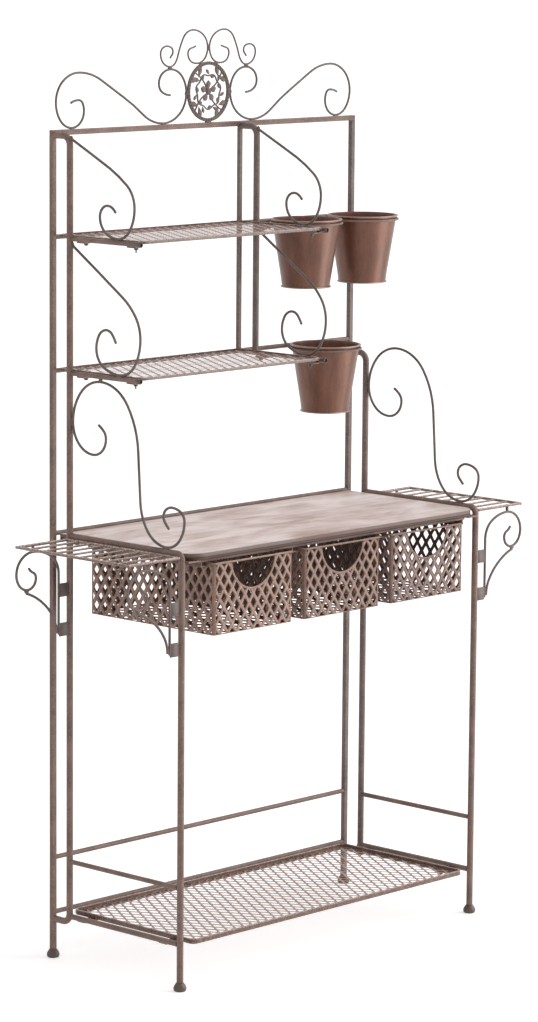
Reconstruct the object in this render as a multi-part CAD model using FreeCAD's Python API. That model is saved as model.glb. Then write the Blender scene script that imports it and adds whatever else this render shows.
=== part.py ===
import FreeCAD, Part
import cmath
import math
import os

# A free-standing bakers rack of bent iron: a square-bar back frame with a scrolled crest,
# two side frames of bent tube, two short mesh shelves above a wooden table, three pierced
# baskets under the table, a long mesh shelf near the floor, three hanging pots and a
# slatted wing outside each side frame.
# All lengths are in millimetres. X runs along the rack, +Z is up, and the front faces -Y.
# "Depth" is measured forward from the middle plane of the back frame.

# Main frame
post_spacing = 864.0
frame_depth = 358.0
upright_depth = 48.0
middle_post_x = 93.0
post_size = 10.0
middle_post_size = 8.0
tube_diameter = 12.7
rail_diameter = 9.0
tube_bend_radius = 18.0
top_rail_z = 1650.0
upper_shelf_z = 1447.0
lower_shelf_z = 1184.0
table_rail_z = 861.0
low_rail_z = 205.0
floor_rail_z = 93.0
upright_top_drop = 4.0
right_upright_drop = 27.0
upright_bottom_drop = 13.0

# Feet and shelf arms
foot_diameter = 26.0
foot_base_diameter = 23.0
foot_top_diameter = 16.0
foot_height = 17.0
foot_belly_height = 5.0
arm_reach = 236.0
arm_cap_diameter = 12.0
arm_cap_length = 9.0

# Round stock is drawn with flats and bends with short straight steps
wire_diameter = 5.0
weld_gap = 0.2
weld_toe = 1.2
wire_step_degrees = 34.0
tube_step_degrees = 30.0
straight_tolerance = 0.0001
wire_sides = 6
tube_sides = 12
ring_sides = 20

# Crest
crest_end_inset = 8.0
crest_height = 107.0
crown_width = 134.0
crown_height = 72.0
crown_contact_degrees = 20.0
medallion_radius = 60.5
medallion_band = 6.0
medallion_thickness = 6.0
medallion_lift = 2.0
medallion_foot = 14.0
ornament_thickness = 3.0
ornament_petals = 5
ornament_stems = 4
flower_heart_diameter = 13.0
petal_length = 23.0
petal_width = 20.0
leaf_length = 27.0
leaf_width = 13.0
leaf_lean_degrees = 62.0
stem_width = 4.0

# Scrolls on the shelf arms and over the table rails
upper_scroll_reach = 171.0
lower_scroll_reach = 188.0
lower_scroll_top_gap = 20.0
scroll_start_degrees = 30.0
side_scroll_overhang = 4.0
scroll_stub_length = 3.0
scroll_stub_size = 6.0

# Shelf trays: an angle-iron rim with a diamond mesh sheet on its flange
short_tray_rim_height = 6.0
short_tray_lift = 5.0
long_tray_rim_height = 10.0
tray_wall = 2.5
tray_flange = 14.0
tray_side_gap = 0.3
tray_back_gap = 2.5
tray_front_lap = 4.0
mesh_thickness = 1.5
mesh_pitch = 76.0
mesh_strand = 7.0
bottom_tray_side_inset = 30.0
bottom_tray_back_depth = 25.0
bottom_tray_front_lap = 7.0
lug_width = 22.0
lug_thickness = 3.0
lug_front_inset = 24.0
lug_back_inset = 71.0
bottom_lug_inset = 55.0

# Table
board_side_gap = 2.0
board_back_gap = 4.5
board_front_lap = 16.0
board_thickness = 14.0
board_corner_radius = 42.0
table_bar_size = 6.0
table_bar_side_inset = 41.0
table_bar_back_lap = 6.0
table_bar_front_lap = 3.0
table_lug_length = 30.0
table_lug_width = 24.0

# Baskets and their runners
basket_count = 3
basket_gap = 36.0
basket_end_inset = 7.0
basket_height = 142.0
basket_front_lap = 22.0
basket_back_lap = 14.0
basket_sheet = 1.2
basket_corner_radius = 8.0
basket_rim_width = 6.0
basket_rim_height = 5.0
basket_top_gap = 1.5
basket_margin = 6.0
diamond_width = 50.0
diamond_height = 41.0
diamond_strand = 9.0
floor_diamond = 100.0
grip_width = 124.0
grip_height = 56.0
runner_web = 3.0
runner_ledge = 3.0
runner_side_gap = 1.5
runner_gap = 0.3

# Pots and the rings that carry them
outer_pot_inset = 52.0
upper_pot_spacing = 172.0
lower_pot_spacing = 110.0
pot_height = 141.0
pot_neck_diameter = 140.0
pot_rim_width = 5.0
pot_rim_height = 6.0
pot_foot_diameter = 98.0
pot_foot_band = 3.0
pot_foot_height = 4.0
pot_wall = 1.2
pot_ring_gap = 1.0
pot_seat_gap = 0.3
pot_ring_size = 5.0
pot_ring_drop = 1.0

# Wings
wing_reach = 140.0
wing_rod_diameter = 7.0
wing_rail_gap = 0.3
wing_drop = 6.0
wing_back_inset = 2.0
slat_count = 8
slat_diameter = 5.0
bracket_standoff = 26.0
bracket_end_inset = 1.0
bracket_drop = 182.0
tab_height = 27.0
tab_thickness = 4.0
tab_height_shares = (0.05, 0.49)

# How far a cut runs past the face that it opens
overrun = 1.0

# Places worked out from the sizes above
half_span = post_spacing/2
post_half = post_size/2
rail_radius = rail_diameter/2
tube_radius = tube_diameter/2
wire_radius = wire_diameter/2
wire_seat = wire_radius + weld_gap
upright_front = upright_depth + tube_radius
upright_top_z = top_rail_z - upright_top_drop
board_front_depth = frame_depth + board_front_lap
board_bottom_z = table_rail_z - board_thickness
table_bar_bottom_z = board_bottom_z - table_bar_size
table_bar_half_length = half_span - table_bar_side_inset
table_bar_back_depth = upright_depth + table_bar_back_lap
table_bar_front_depth = frame_depth + table_bar_front_lap
basket_pitch = 2*(table_bar_half_length - basket_end_inset)/basket_count
basket_width = basket_pitch - basket_gap
basket_front_depth = frame_depth + basket_front_lap
basket_back_depth = table_bar_back_depth - basket_back_lap
basket_top_z = table_bar_bottom_z - basket_top_gap
basket_bottom_z = basket_top_z - basket_height
back_y = (basket_front_depth + basket_rim_width - foot_diameter/2)/2
up = FreeCAD.Vector(0, 0, 1)
along = FreeCAD.Vector(1, 0, 0)
forward = FreeCAD.Vector(0, -1, 0)
backward = FreeCAD.Vector(0, 1, 0)


def at(x, depth, z):
    """A point of the rack: along it, forward of the back frame's plane, and up."""
    return FreeCAD.Vector(x, back_y - depth, z)


def block(x, depth, z):
    """A box between two x, two depths and two heights, each a (low, high) pair."""
    size = (x[1] - x[0], depth[1] - depth[0], z[1] - z[0])
    return Part.makeBox(*size, at(x[0], depth[1], z[0]))


def about(middle, width):
    """The (low, high) pair of a width about its middle."""
    return middle - width/2, middle + width/2


def group(solids):
    """Separate solids that share one node."""
    return Part.makeCompound(solids)


def holed_face(outline, holes):
    """A flat face inside a closed outline, with closed holes in it."""
    return Part.makeFace([outline] + holes, "Part::FaceMakerBullseye")


def corners_round(centre, radius, sides, u, v):
    """Corners round a centre in the plane of u and v, back to the first, with flats at the radius."""
    corner = radius/math.cos(math.pi/sides)
    turns = [2*math.pi*(i + 0.5)/sides for i in range(sides + 1)]
    return [centre + u*corner*math.cos(t) + v*corner*math.sin(t) for t in turns]


def ring_of_flats(centre, radius, sides, u, v):
    """A regular polygon about a centre in the plane of u and v, its flats at the radius."""
    return Part.makePolygon(corners_round(centre, radius, sides, u, v))


def turned(x, depth, profile, sides):
    """An upright solid in flats from a profile of (radius, height), closed at its two ends."""
    rings = [corners_round(at(x, depth, z), radius, sides, along, backward) for radius, z in profile]
    faces = [Part.Face(Part.makePolygon(ring)) for ring in (rings[0], rings[-1])]
    for low, high in zip(rings, rings[1:]):
        faces += [Part.Face(Part.makePolygon([low[i], low[i + 1], high[i + 1], high[i], low[i]]))
                  for i in range(sides)]
    return Part.makeSolid(Part.makeShell(faces))


def bar(path, diameter, sides, normal):
    """A bar along a path in the plane of a normal, with flats that face sideways in that plane."""
    run = path[1].sub(path[0]).normalize()
    section = ring_of_flats(path[0], diameter/2, sides, run.cross(normal), normal)
    if len(path) == 2:
        return Part.Face(section).extrude(path[1].sub(path[0]))
    return Part.makePolygon(path).makePipeShell([section], True, False, 1)


def rail(start, end, diameter=rail_diameter, sides=tube_sides):
    """A straight bar, with flats that other bars can butt on squarely."""
    run = end.sub(start)
    normal = up if abs(run.x) > run.Length/2 else along
    return bar([start, end], diameter, sides, normal)


def arc_steps(start, heading, end, step):
    """Points along the arc that leaves start with a heading and arrives at end."""
    chord = end - start
    turn = 2*cmath.phase(chord/heading)
    count = max(1, math.ceil(abs(math.degrees(turn))/step))
    if count == 1:
        return [end]
    radius = abs(chord)/(2*math.sin(turn/2))
    halves = [turn*(i + 1)/count/2 for i in range(count)]
    return [start + 2*radius*math.sin(half)*heading*cmath.exp(1j*half) for half in halves]


def two_arcs(start, heading, end, heading_end, step):
    """Points along two tangent arcs between two places with given headings."""
    chord = end - start
    lean = (chord*(heading + heading_end).conjugate()).real
    spread = 2 - 2*(heading*heading_end.conjugate()).real
    if spread < straight_tolerance:
        reach = abs(chord)**2/(2*lean)
    else:
        reach = (math.sqrt(lean**2 + spread*abs(chord)**2) - lean)/spread
    middle = (start + end + reach*(heading - heading_end))/2
    between = (end - heading_end*reach) - (start + heading*reach)
    first = arc_steps(start, heading, middle, step)
    return first + arc_steps(middle, between/abs(between), end, step)


def wire_route(stops):
    """A bent wire's route through stops of (outward, up, heading in degrees)."""
    places = [complex(a, b) for a, b, _ in stops]
    headings = [cmath.exp(1j*math.radians(h)) for _, _, h in stops]
    route = [places[0]]
    for i in range(len(stops) - 1):
        route += two_arcs(places[i], headings[i], places[i + 1], headings[i + 1], wire_step_degrees)
    return route


def stops_from(shares, width, height, base_a, base_b):
    """Stops of a scroll from (across, up, heading) shares of its width and height."""
    return [(base_a + a*width, base_b + b*height, heading) for a, b, heading in shares]


def tube_route(corners):
    """A tube's route in a plane: straight runs with a round bend at each inner corner."""
    places = [complex(a, b) for a, b in corners]
    route = [places[0]]
    for i in range(1, len(places) - 1):
        into = (places[i] - places[i - 1])/abs(places[i] - places[i - 1])
        out = (places[i + 1] - places[i])/abs(places[i + 1] - places[i])
        cut = tube_bend_radius*abs(math.tan(cmath.phase(out/into)/2))
        route.append(places[i] - into*cut)
        route += arc_steps(route[-1], into, places[i] + out*cut, tube_step_degrees)
    return route + [places[-1]]


def side_bar(route, x, diameter, sides):
    """A bar in an upright fore-and-aft plane, from a route of depths and heights."""
    return bar([at(x, p.real, p.imag) for p in route], diameter, sides, along)


def front_bar(route, side, depth, diameter, sides):
    """A bar in an upright plane that faces forward, on the left (-1) or right (1) side."""
    return bar([at(side*p.real, depth, p.imag) for p in route], diameter, sides, forward)


def diamonds(width, height, pitch_a, pitch_b, strand, margin, in_the_way=None):
    """Staggered diamond holes that fill a sheet inside its margin, at about the given pitches."""
    columns = 2*max(1, round((width - 2*margin)/pitch_a))
    rows = 2*max(1, round((height - 2*margin)/pitch_b))
    step_a = (width - 2*margin)/columns
    step_b = (height - 2*margin)/rows
    half_a = step_a - strand/2
    half_b = step_b - strand/2
    holes = []
    for i in range(1, columns):
        for j in range(1, rows):
            a = margin + i*step_a
            b = margin + j*step_b
            if (i + j) % 2 or in_the_way and in_the_way(a, b):
                continue
            tips = ((a - half_a, b), (a, b - half_b), (a + half_a, b), (a, b + half_b), (a - half_a, b))
            holes.append(Part.makePolygon([FreeCAD.Vector(x, y, 0) for x, y in tips]))
    return holes


def sheet(width, height, holes, thickness):
    """A flat pierced sheet that lies on the XY plane from the origin."""
    corners = ((0, 0), (width, 0), (width, height), (0, height), (0, 0))
    outline = Part.makePolygon([FreeCAD.Vector(x, y, 0) for x, y in corners])
    return holed_face(outline, holes).extrude(up*thickness)


def placed(shape, origin, x_axis, y_axis):
    """A shape moved from the XY plane to an origin, with its X and Y along two axes."""
    z_axis = x_axis.cross(y_axis)
    shape.Placement = FreeCAD.Placement(origin, FreeCAD.Rotation(x_axis, y_axis, z_axis, "ZXY"))
    return shape


def corner_plan(cx, cd, side, way, radius):
    """Plan points of a round corner about a centre, from its side to its front or back."""
    count = round(90/tube_step_degrees)
    turns = [math.pi/2*i/count for i in range(count + 1)]
    return [(cx + side*radius*math.cos(t), cd + way*radius*math.sin(t)) for t in turns]


def rounded_plan(x, depth, radius):
    """Plan points of a rectangle with round corners."""
    points = []
    for side, way in ((-1, -1), (-1, 1), (1, 1), (1, -1)):
        cx = x[1] - radius if side > 0 else x[0] + radius
        cd = depth[1] - radius if way > 0 else depth[0] + radius
        points += corner_plan(cx, cd, side, way, radius)[::-side*way]
    return points


def plan_face(points, z):
    """A level face from plan points of x and depth."""
    corners = [at(x, depth, z) for x, depth in points]
    return Part.Face(Part.makePolygon(corners + corners[:1]))


def back_frame():
    """Square posts and top rail, the middle post and the round rails between the posts."""
    post_top = top_rail_z - post_half
    pieces = {}
    for side, word in ((-1, "left"), (1, "right")):
        pieces["back_post_" + word] = block(about(side*half_span, post_size), (-post_half, post_half),
                                            (foot_height, post_top))
    pieces["top_rail"] = block((-half_span - post_half, half_span + post_half), (-post_half, post_half),
                               (post_top, top_rail_z + post_half))
    inner = half_span - post_half
    levels = {"upper_shelf_rail": [upper_shelf_z], "lower_shelf_rail": [lower_shelf_z],
              "table_back_rail": [table_rail_z],
              "low_back_rails": [low_rail_z, floor_rail_z]}
    for name, heights in levels.items():
        pieces[name] = group([rail(at(-inner, 0, z), at(inner, 0, z)) for z in heights])
    runs = ((lower_shelf_z + rail_radius, upper_shelf_z - rail_radius),
            (upper_shelf_z + rail_radius, post_top))
    pieces["middle_post"] = group([block(about(middle_post_x, middle_post_size),
                                         about(0, middle_post_size), run) for run in runs])
    return pieces


def side_frames():
    """Bent uprights, legs bent over into the table's side rails, and the low side rails."""
    pieces = {}
    bottom = floor_rail_z - upright_bottom_drop
    for side, word, top in ((-1, "left", upright_top_z), (1, "right", lower_shelf_z - right_upright_drop)):
        x = side*half_span
        upright = tube_route([(post_half, bottom), (upright_depth, bottom),
                              (upright_depth, top), (post_half, top)])
        pieces["upright_" + word] = side_bar(upright, x, tube_diameter, tube_sides)
        leg = tube_route([(upright_front, table_rail_z), (frame_depth, table_rail_z),
                          (frame_depth, foot_height)])
        pieces["front_leg_" + word] = side_bar(leg, x, tube_diameter, tube_sides)
        low = [rail(at(x, upright_front, z), at(x, frame_depth - tube_radius, z))
               for z in (floor_rail_z, low_rail_z)]
        pieces["low_side_rails_" + word] = group(low)
    return pieces


def shelf_bracket():
    """The upright hung from the top rail, which stands on the lower right arm."""
    route = tube_route([(post_half, upright_top_z), (upright_depth, upright_top_z),
                        (upright_depth, lower_shelf_z + rail_radius)])
    return {"bracket_upright": side_bar(route, middle_post_x, tube_diameter, tube_sides)}


def shelf_arms():
    """Four arms that carry the two upper shelves, each closed by a round cap."""
    pieces = {}
    caps = []
    starts = {"upper_arm_left": (-half_span, upright_front, upper_shelf_z),
              "lower_arm_left": (-half_span, upright_front, lower_shelf_z),
              "upper_arm_right": (middle_post_x, upright_front, upper_shelf_z),
              "lower_arm_right": (middle_post_x, rail_radius, lower_shelf_z)}
    for name, (x, depth, z) in starts.items():
        end = at(x, arm_reach, z)
        pieces[name] = rail(at(x, depth, z), end)
        caps.append(rail(end, end.add(forward*arm_cap_length), arm_cap_diameter))
    pieces["arm_end_caps"] = group(caps)
    return pieces


def feet():
    """Bell-shaped caps under the two back posts and the two front legs."""
    profile = ((foot_base_diameter/2, 0), (foot_diameter/2, foot_belly_height),
               (foot_top_diameter/2, foot_height))
    caps = [turned(x, depth, profile, tube_sides)
            for x in (-half_span, half_span) for depth in (0, frame_depth)]
    return {"foot_caps": group(caps)}


def crest():
    """Two large S scrolls on the top rail, two small ones above them, and the medallion."""
    large_shares = [(0.89, 0.45, 150), (0.83, 0.50, 180), (0.79, 0.30, 270), (0.88, 0, 0),
                    (1, 0.47, 90), (0.83, 1, 180), (0.49, 0.52, 209), (0.18, 0, 180),
                    (0, 0.55, 90), (0.125, 1, 0), (0.216, 0.74, 270), (0.125, 0.52, 180)]
    inner_crown_shares = [(0.25, 0.55, -20), (0.42, 0.35, 270)]
    outer_crown_shares = [(0, 0.50, 90), (0.315, 1, 0), (0.635, 0.29, -73), (0.80, 0, 0), (1, 0.36, 90),
                          (0.87, 0.57, 180), (0.74, 0.41, 270), (0.80, 0.23, 300)]
    rail_top = top_rail_z + post_half
    ring_z = rail_top + medallion_lift + medallion_radius
    ring_seat = medallion_radius + wire_seat
    length = half_span - crest_end_inset - ring_seat
    large = wire_route(stops_from(large_shares, length, crest_height, ring_seat, rail_top + wire_seat))
    crown_z = rail_top + wire_seat + crest_height + wire_diameter + weld_gap
    lean = math.radians(crown_contact_degrees)
    on_ring = (ring_seat*math.sin(lean), ring_z + ring_seat*math.cos(lean), 180 - crown_contact_degrees)
    stops = stops_from(inner_crown_shares, crown_width, crown_height, wire_seat, crown_z)
    stops.append(on_ring)
    stops += stops_from(outer_crown_shares, crown_width, crown_height, wire_seat, crown_z)
    crown = wire_route(stops)
    pieces = {}
    for side, word in ((-1, "left"), (1, "right")):
        pieces["crest_scroll_" + word] = front_bar(large, side, 0, wire_diameter, wire_sides)
        pieces["crown_scroll_" + word] = front_bar(crown, side, 0, wire_diameter, wire_sides)
    pieces["medallion_ring"] = medallion_ring(ring_z, rail_top)
    pieces["medallion_ornament"] = medallion_ornament(ring_z)
    return pieces


def flat_ring(radius, band, thickness):
    """A flat ring that lies on the XY plane about the origin."""
    origin = FreeCAD.Vector(0, 0, 0)
    rims = [ring_of_flats(origin, r, ring_sides, along, backward) for r in (radius, radius - band)]
    return holed_face(rims[0], rims[1:]).extrude(up*thickness)


def medallion_ring(ring_z, rail_top):
    """The upright ring with the small foot that it stands on."""
    half = medallion_thickness/2
    ring = flat_ring(medallion_radius, medallion_band, medallion_thickness)
    ring = placed(ring, at(0, -half, ring_z), along, up)
    foot_top = rail_top + medallion_lift + medallion_band/2
    foot = block(about(0, medallion_foot), (-half, half), (rail_top, foot_top))
    return ring.fuse(foot).removeSplitter()


def leaf(start, length, width, turn):
    """A flat six-sided leaf or petal from its root, turned about that root."""
    shares = ((0, 0), (0.35, 0.42), (0.75, 0.5), (1, 0), (0.75, -0.5), (0.35, -0.42), (0, 0))
    spin = cmath.exp(1j*turn)
    tips = [start + spin*complex(a*length, b*width) for a, b in shares]
    return Part.Face(Part.makePolygon([FreeCAD.Vector(p.real, p.imag, 0) for p in tips]))


def medallion_ornament(ring_z):
    """A flat five-petalled flower on leafy stems that reach the ring."""
    origin = FreeCAD.Vector(0, 0, 0)
    inner = medallion_radius - medallion_band
    heart = flower_heart_diameter/2
    flat = Part.Face(ring_of_flats(origin, heart, tube_sides, along, backward))
    petals = [leaf(0, heart + petal_length, petal_width, 2*math.pi*(i + 0.25)/ornament_petals)
              for i in range(ornament_petals)]
    sprigs = []
    for i in range(ornament_stems):
        turn = 2*math.pi*(i + 0.5)/ornament_stems
        stem = Part.makePlane(inner, stem_width, FreeCAD.Vector(0, -stem_width/2, 0))
        stem.rotate(origin, up, math.degrees(turn))
        root = cmath.exp(1j*turn)*(inner - leaf_length/2)
        lean = math.radians(leaf_lean_degrees)
        sprigs += [stem, leaf(root, leaf_length, leaf_width, turn + lean),
                   leaf(root, leaf_length, leaf_width, turn - lean)]
    flat = flat.fuse(petals + sprigs)
    flat = flat.common(Part.Face(ring_of_flats(origin, inner, ring_sides, along, backward))).removeSplitter()
    return placed(flat.extrude(up*ornament_thickness), at(0, -ornament_thickness/2, ring_z), along, up)


def shelf_scrolls():
    """A scroll on each shelf arm, from the upright forward and down to a curl on the arm."""
    upper_shares = [(0.61, 0.70, -28), (1, 0.317, 270), (0.725, 0, 180), (0.445, 0.211, 90),
                    (0.57, 0.327, 0), (0.70, 0.26, -55)]
    lower_shares = [(0, 1, -33), (0.745, 0.62, -34), (1, 0.30, 270), (0.70, 0, 180),
                    (0.355, 0.195, 90), (0.505, 0.35, 0), (0.645, 0.25, -65)]
    start_depth = upright_front + weld_toe
    upper_base = upper_shelf_z + rail_radius + wire_seat
    lower_base = lower_shelf_z + rail_radius + wire_seat
    lean = math.radians(scroll_start_degrees)
    out = tube_bend_radius + tube_radius + weld_toe
    start = (upright_depth - tube_bend_radius + out*math.cos(lean),
             upright_top_z - tube_bend_radius + out*math.sin(lean), -27)
    rise = upright_top_z - upper_base
    upper = [start] + stops_from(upper_shares, upper_scroll_reach, rise, start_depth, upper_base)
    rise = upper_shelf_z - lower_scroll_top_gap - lower_shelf_z
    lower = stops_from(lower_shares, lower_scroll_reach, rise, start_depth, lower_base)
    pieces = {}
    for word, x in (("left", -half_span), ("right", middle_post_x)):
        pieces["upper_scroll_" + word] = side_bar(wire_route(upper), x, wire_diameter, wire_sides)
        pieces["lower_scroll_" + word] = side_bar(wire_route(lower), x, wire_diameter, wire_sides)
    return pieces


def side_scrolls():
    """A tall S scroll on each side over the table; a stub ties the left one to its arm."""
    shares = [(0.232, 0.722, -30), (0.30, 0.637, 270), (0.186, 0.524, 180), (0, 0.72, 90),
              (0.25, 1, 0), (0.59, 0.58, -87), (0.61, 0.265, -87), (0.842, 0, 0), (1, 0.18, 90),
              (0.89, 0.26, 180), (0.816, 0.195, 270), (0.865, 0.118, -50)]
    top_share = 0.25
    base_depth = upright_front + wire_seat
    base_z = table_rail_z + tube_radius + wire_seat
    reach = frame_depth + side_scroll_overhang - upright_front
    stub_top = lower_shelf_z - rail_radius
    stub_bottom = stub_top - scroll_stub_length
    rise = stub_bottom - wire_seat - base_z
    route = wire_route(stops_from(shares, reach, rise, base_depth, base_z))
    stub = block(about(-half_span, scroll_stub_size), about(base_depth + top_share*reach, scroll_stub_size),
                 (stub_bottom, stub_top))
    wires = [side_bar(route, side*half_span, wire_diameter, wire_sides) for side in (-1, 1)]
    return {"side_scroll_left": group([wires[0], stub]), "side_scroll_right": wires[1]}


def tray(x, depth, z, rim_height):
    """An angle-iron rim with an inward flange at its underside z, and the mesh sheet on it."""
    inside = [(low + tray_wall, high - tray_wall) for low, high in (x, depth)]
    well = [(low + tray_flange, high - tray_flange) for low, high in (x, depth)]
    rim = block(x, depth, (z, z + rim_height))
    rim = rim.cut(block(*inside, (z + tray_wall, z + rim_height + overrun)))
    rim = rim.cut(block(*well, (z - overrun, z + tray_wall + overrun)))
    size = [high - low for low, high in inside]
    holes = diamonds(*size, mesh_pitch, mesh_pitch, mesh_strand, tray_flange - tray_wall)
    mesh = sheet(*size, holes, mesh_thickness)
    return rim, placed(mesh, at(inside[0][0], inside[1][1], z + tray_wall), along, backward)


def shelves():
    """Two short trays between the arms and a long one between the low rails, all on lugs."""
    pieces = {}
    lugs = []
    clear = tube_radius + tray_side_gap
    arms = (-half_span, middle_post_x)
    arm_x = (arms[0] + clear, arms[1] - clear)
    arm_depth = (rail_radius + tray_back_gap, arm_reach + tray_front_lap)
    arm_lugs = (arm_depth[0] + lug_back_inset, arm_depth[1] - lug_front_inset)
    low_x = (-half_span + bottom_tray_side_inset, half_span - bottom_tray_side_inset)
    low_depth = (bottom_tray_back_depth, frame_depth + bottom_tray_front_lap)
    low_lugs = (low_depth[0] + bottom_lug_inset, low_depth[1] - bottom_lug_inset)
    sides = (-half_span, half_span)
    plans = (("upper_shelf", arm_x, arm_depth, upper_shelf_z, short_tray_rim_height, arms, arm_lugs),
             ("lower_shelf", arm_x, arm_depth, lower_shelf_z, short_tray_rim_height, arms, arm_lugs),
             ("bottom_shelf", low_x, low_depth, floor_rail_z, long_tray_rim_height, sides, low_lugs))
    for name, x, depth, level, rim_height, carriers, lug_depths in plans:
        rest = level - rail_radius
        z = rest + (short_tray_lift if carriers is arms else 0)
        pieces[name + "_rim"], pieces[name + "_mesh"] = tray(x, depth, z, rim_height)
        for side, carrier, edge in ((1, carriers[0], x[0]), (-1, carriers[1], x[1])):
            lap = sorted((edge, edge + side*tray_flange))
            span = sorted((carrier, edge + side*tray_flange))
            for lug_depth in lug_depths:
                width = about(lug_depth, lug_width)
                lug = block(span, width, (rest - lug_thickness, rest))
                packing = block(lap, width, (rest - lug_thickness, z))
                lugs.append(lug.fuse(packing).removeSplitter())
    pieces["shelf_lugs"] = group(lugs)
    return pieces


def table():
    """A board with round front corners on lugs, and two bars under it for the basket runners."""
    half_length = half_span - tube_radius - board_side_gap
    r = board_corner_radius
    turn = r*(1 - math.sqrt(0.5))
    z = board_bottom_z
    rear = [at(side*half_length, rail_radius + board_back_gap, z) for side in (-1, 1)]
    ends = [at(side*half_length, board_front_depth - r, z) for side in (-1, 1)]
    bends = [at(side*(half_length - turn), board_front_depth - turn, z) for side in (-1, 1)]
    fronts = [at(side*(half_length - r), board_front_depth, z) for side in (-1, 1)]
    edges = [Part.LineSegment(rear[0], rear[1]), Part.LineSegment(rear[1], ends[1]),
             Part.Arc(ends[1], bends[1], fronts[1]), Part.LineSegment(fronts[1], fronts[0]),
             Part.Arc(fronts[0], bends[0], ends[0]), Part.LineSegment(ends[0], rear[0])]
    board = Part.Face(Part.Wire([edge.toShape() for edge in edges])).extrude(up*board_thickness)
    bars = [block((-table_bar_half_length, table_bar_half_length), about(depth, table_bar_size),
                  (table_bar_bottom_z, board_bottom_z))
            for depth in (table_bar_back_depth, table_bar_front_depth)]
    lugs = []
    for side in (-1, 1):
        face = side*(half_span - tube_radius)
        span = sorted((face, face - side*table_lug_length))
        lugs += [block(span, about(depth, table_lug_width), (z - lug_thickness, z))
                 for depth in (upright_depth, frame_depth)]
    return {"table_board": board, "table_bars": group(bars), "table_lugs": group(lugs)}


def basket_runners():
    """Runners under the table's bars: a tee between two baskets, an angle outside the last."""
    ledge_top = basket_top_z - basket_rim_height - runner_gap
    reach = basket_gap/2 - runner_side_gap
    depth = (table_bar_back_depth - table_bar_size/2, table_bar_front_depth + table_bar_size/2)
    runners = []
    for i in range(basket_count + 1):
        x = (i - basket_count/2)*basket_pitch
        web = about(x, runner_web)
        ledge = (web[0] if i == 0 else x - reach, web[1] if i == basket_count else x + reach)
        runner = block(web, depth, (ledge_top, table_bar_bottom_z))
        runner = runner.fuse(block(ledge, depth, (ledge_top - runner_ledge, ledge_top)))
        runners.append(runner.removeSplitter())
    return {"basket_runners": group(runners)}


def grip_outline(width):
    """The half-moon grip under a basket's front rim."""
    left = complex((width - grip_width)/2, basket_height - basket_rim_height)
    dive = cmath.exp(-2j*math.atan2(grip_height, grip_width/2))
    route = [left] + arc_steps(left, dive, left + grip_width, tube_step_degrees) + [left]
    return Part.makePolygon([FreeCAD.Vector(p.real, p.imag, 0) for p in route])


def basket_walls(left, right):
    """The front, back and side sheets of a basket, with the grip in the front one."""
    r = basket_corner_radius
    width = right - left - 2*r
    depth = basket_front_depth - basket_back_depth - 2*r
    pattern = (diamond_width, diamond_height, diamond_strand, basket_margin)
    grip_top = basket_height - basket_rim_height
    clear = grip_width/2 + diamond_height/2

    def in_grip(a, b):
        return math.hypot(a - width/2, b - grip_top) < clear

    front = diamonds(width, basket_height, *pattern, in_grip) + [grip_outline(width)]
    back = diamonds(width, basket_height, *pattern)
    end = diamonds(depth, basket_height, *pattern)
    low = basket_bottom_z
    walls = []
    for holes, face in ((front, basket_front_depth - basket_sheet), (back, basket_back_depth)):
        wall = sheet(width, basket_height, holes, basket_sheet)
        walls.append(placed(wall, at(left + r, face, low), along, up))
    for face in (left, right - basket_sheet):
        wall = sheet(depth, basket_height, end, basket_sheet)
        walls.append(placed(wall, at(face, basket_front_depth - r, low), backward, up))
    return walls


def basket_corners(left, right):
    """Plain rounded strips between the walls of a basket."""
    r = basket_corner_radius
    strips = []
    for cx, side in ((left + r, -1), (right - r, 1)):
        for cd, way in ((basket_front_depth - r, 1), (basket_back_depth + r, -1)):
            outer = corner_plan(cx, cd, side, way, r)
            inner = corner_plan(cx, cd, side, way, r - basket_sheet)
            strips.append(plan_face(outer + inner[::-1], basket_bottom_z).extrude(up*basket_height))
    return strips


def basket_floor(left, right):
    """The pierced bottom sheet, inside the walls."""
    x = (left + basket_sheet, right - basket_sheet)
    depth = (basket_back_depth + basket_sheet, basket_front_depth - basket_sheet)
    plan = plan_face(rounded_plan(x, depth, basket_corner_radius - basket_sheet), basket_bottom_z)
    size = (x[1] - x[0], depth[1] - depth[0])
    holes = diamonds(*size, floor_diamond, floor_diamond, diamond_strand, basket_margin)
    corner = at(x[0], depth[1], basket_bottom_z)
    holes = [placed(hole, corner, along, backward) for hole in holes]
    return holed_face(plan.OuterWire, holes).extrude(up*basket_sheet)


def basket_rim(left, right):
    """The flat rim round the top, which slides on the runners at both sides."""
    w = basket_rim_width
    depth = (basket_back_depth, basket_front_depth)
    inner = plan_face(rounded_plan((left, right), depth, basket_corner_radius), basket_top_z)
    outer = rounded_plan((left - w, right + w), (depth[0] - w, depth[1] + w), basket_corner_radius + w)
    return plan_face(outer, basket_top_z).cut(inner).extrude(up*-basket_rim_height)


def baskets():
    """Like baskets side by side, each of pierced sheets with round corners and a rim."""
    words = ("left", "middle", "right")
    pieces = {}
    for i, word in zip(range(basket_count), words):
        left, right = about((i - (basket_count - 1)/2)*basket_pitch, basket_width)
        pieces["basket_" + word] = group(basket_walls(left, right) + basket_corners(left, right)
                                         + [basket_floor(left, right), basket_rim(left, right)])
    return pieces


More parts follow.
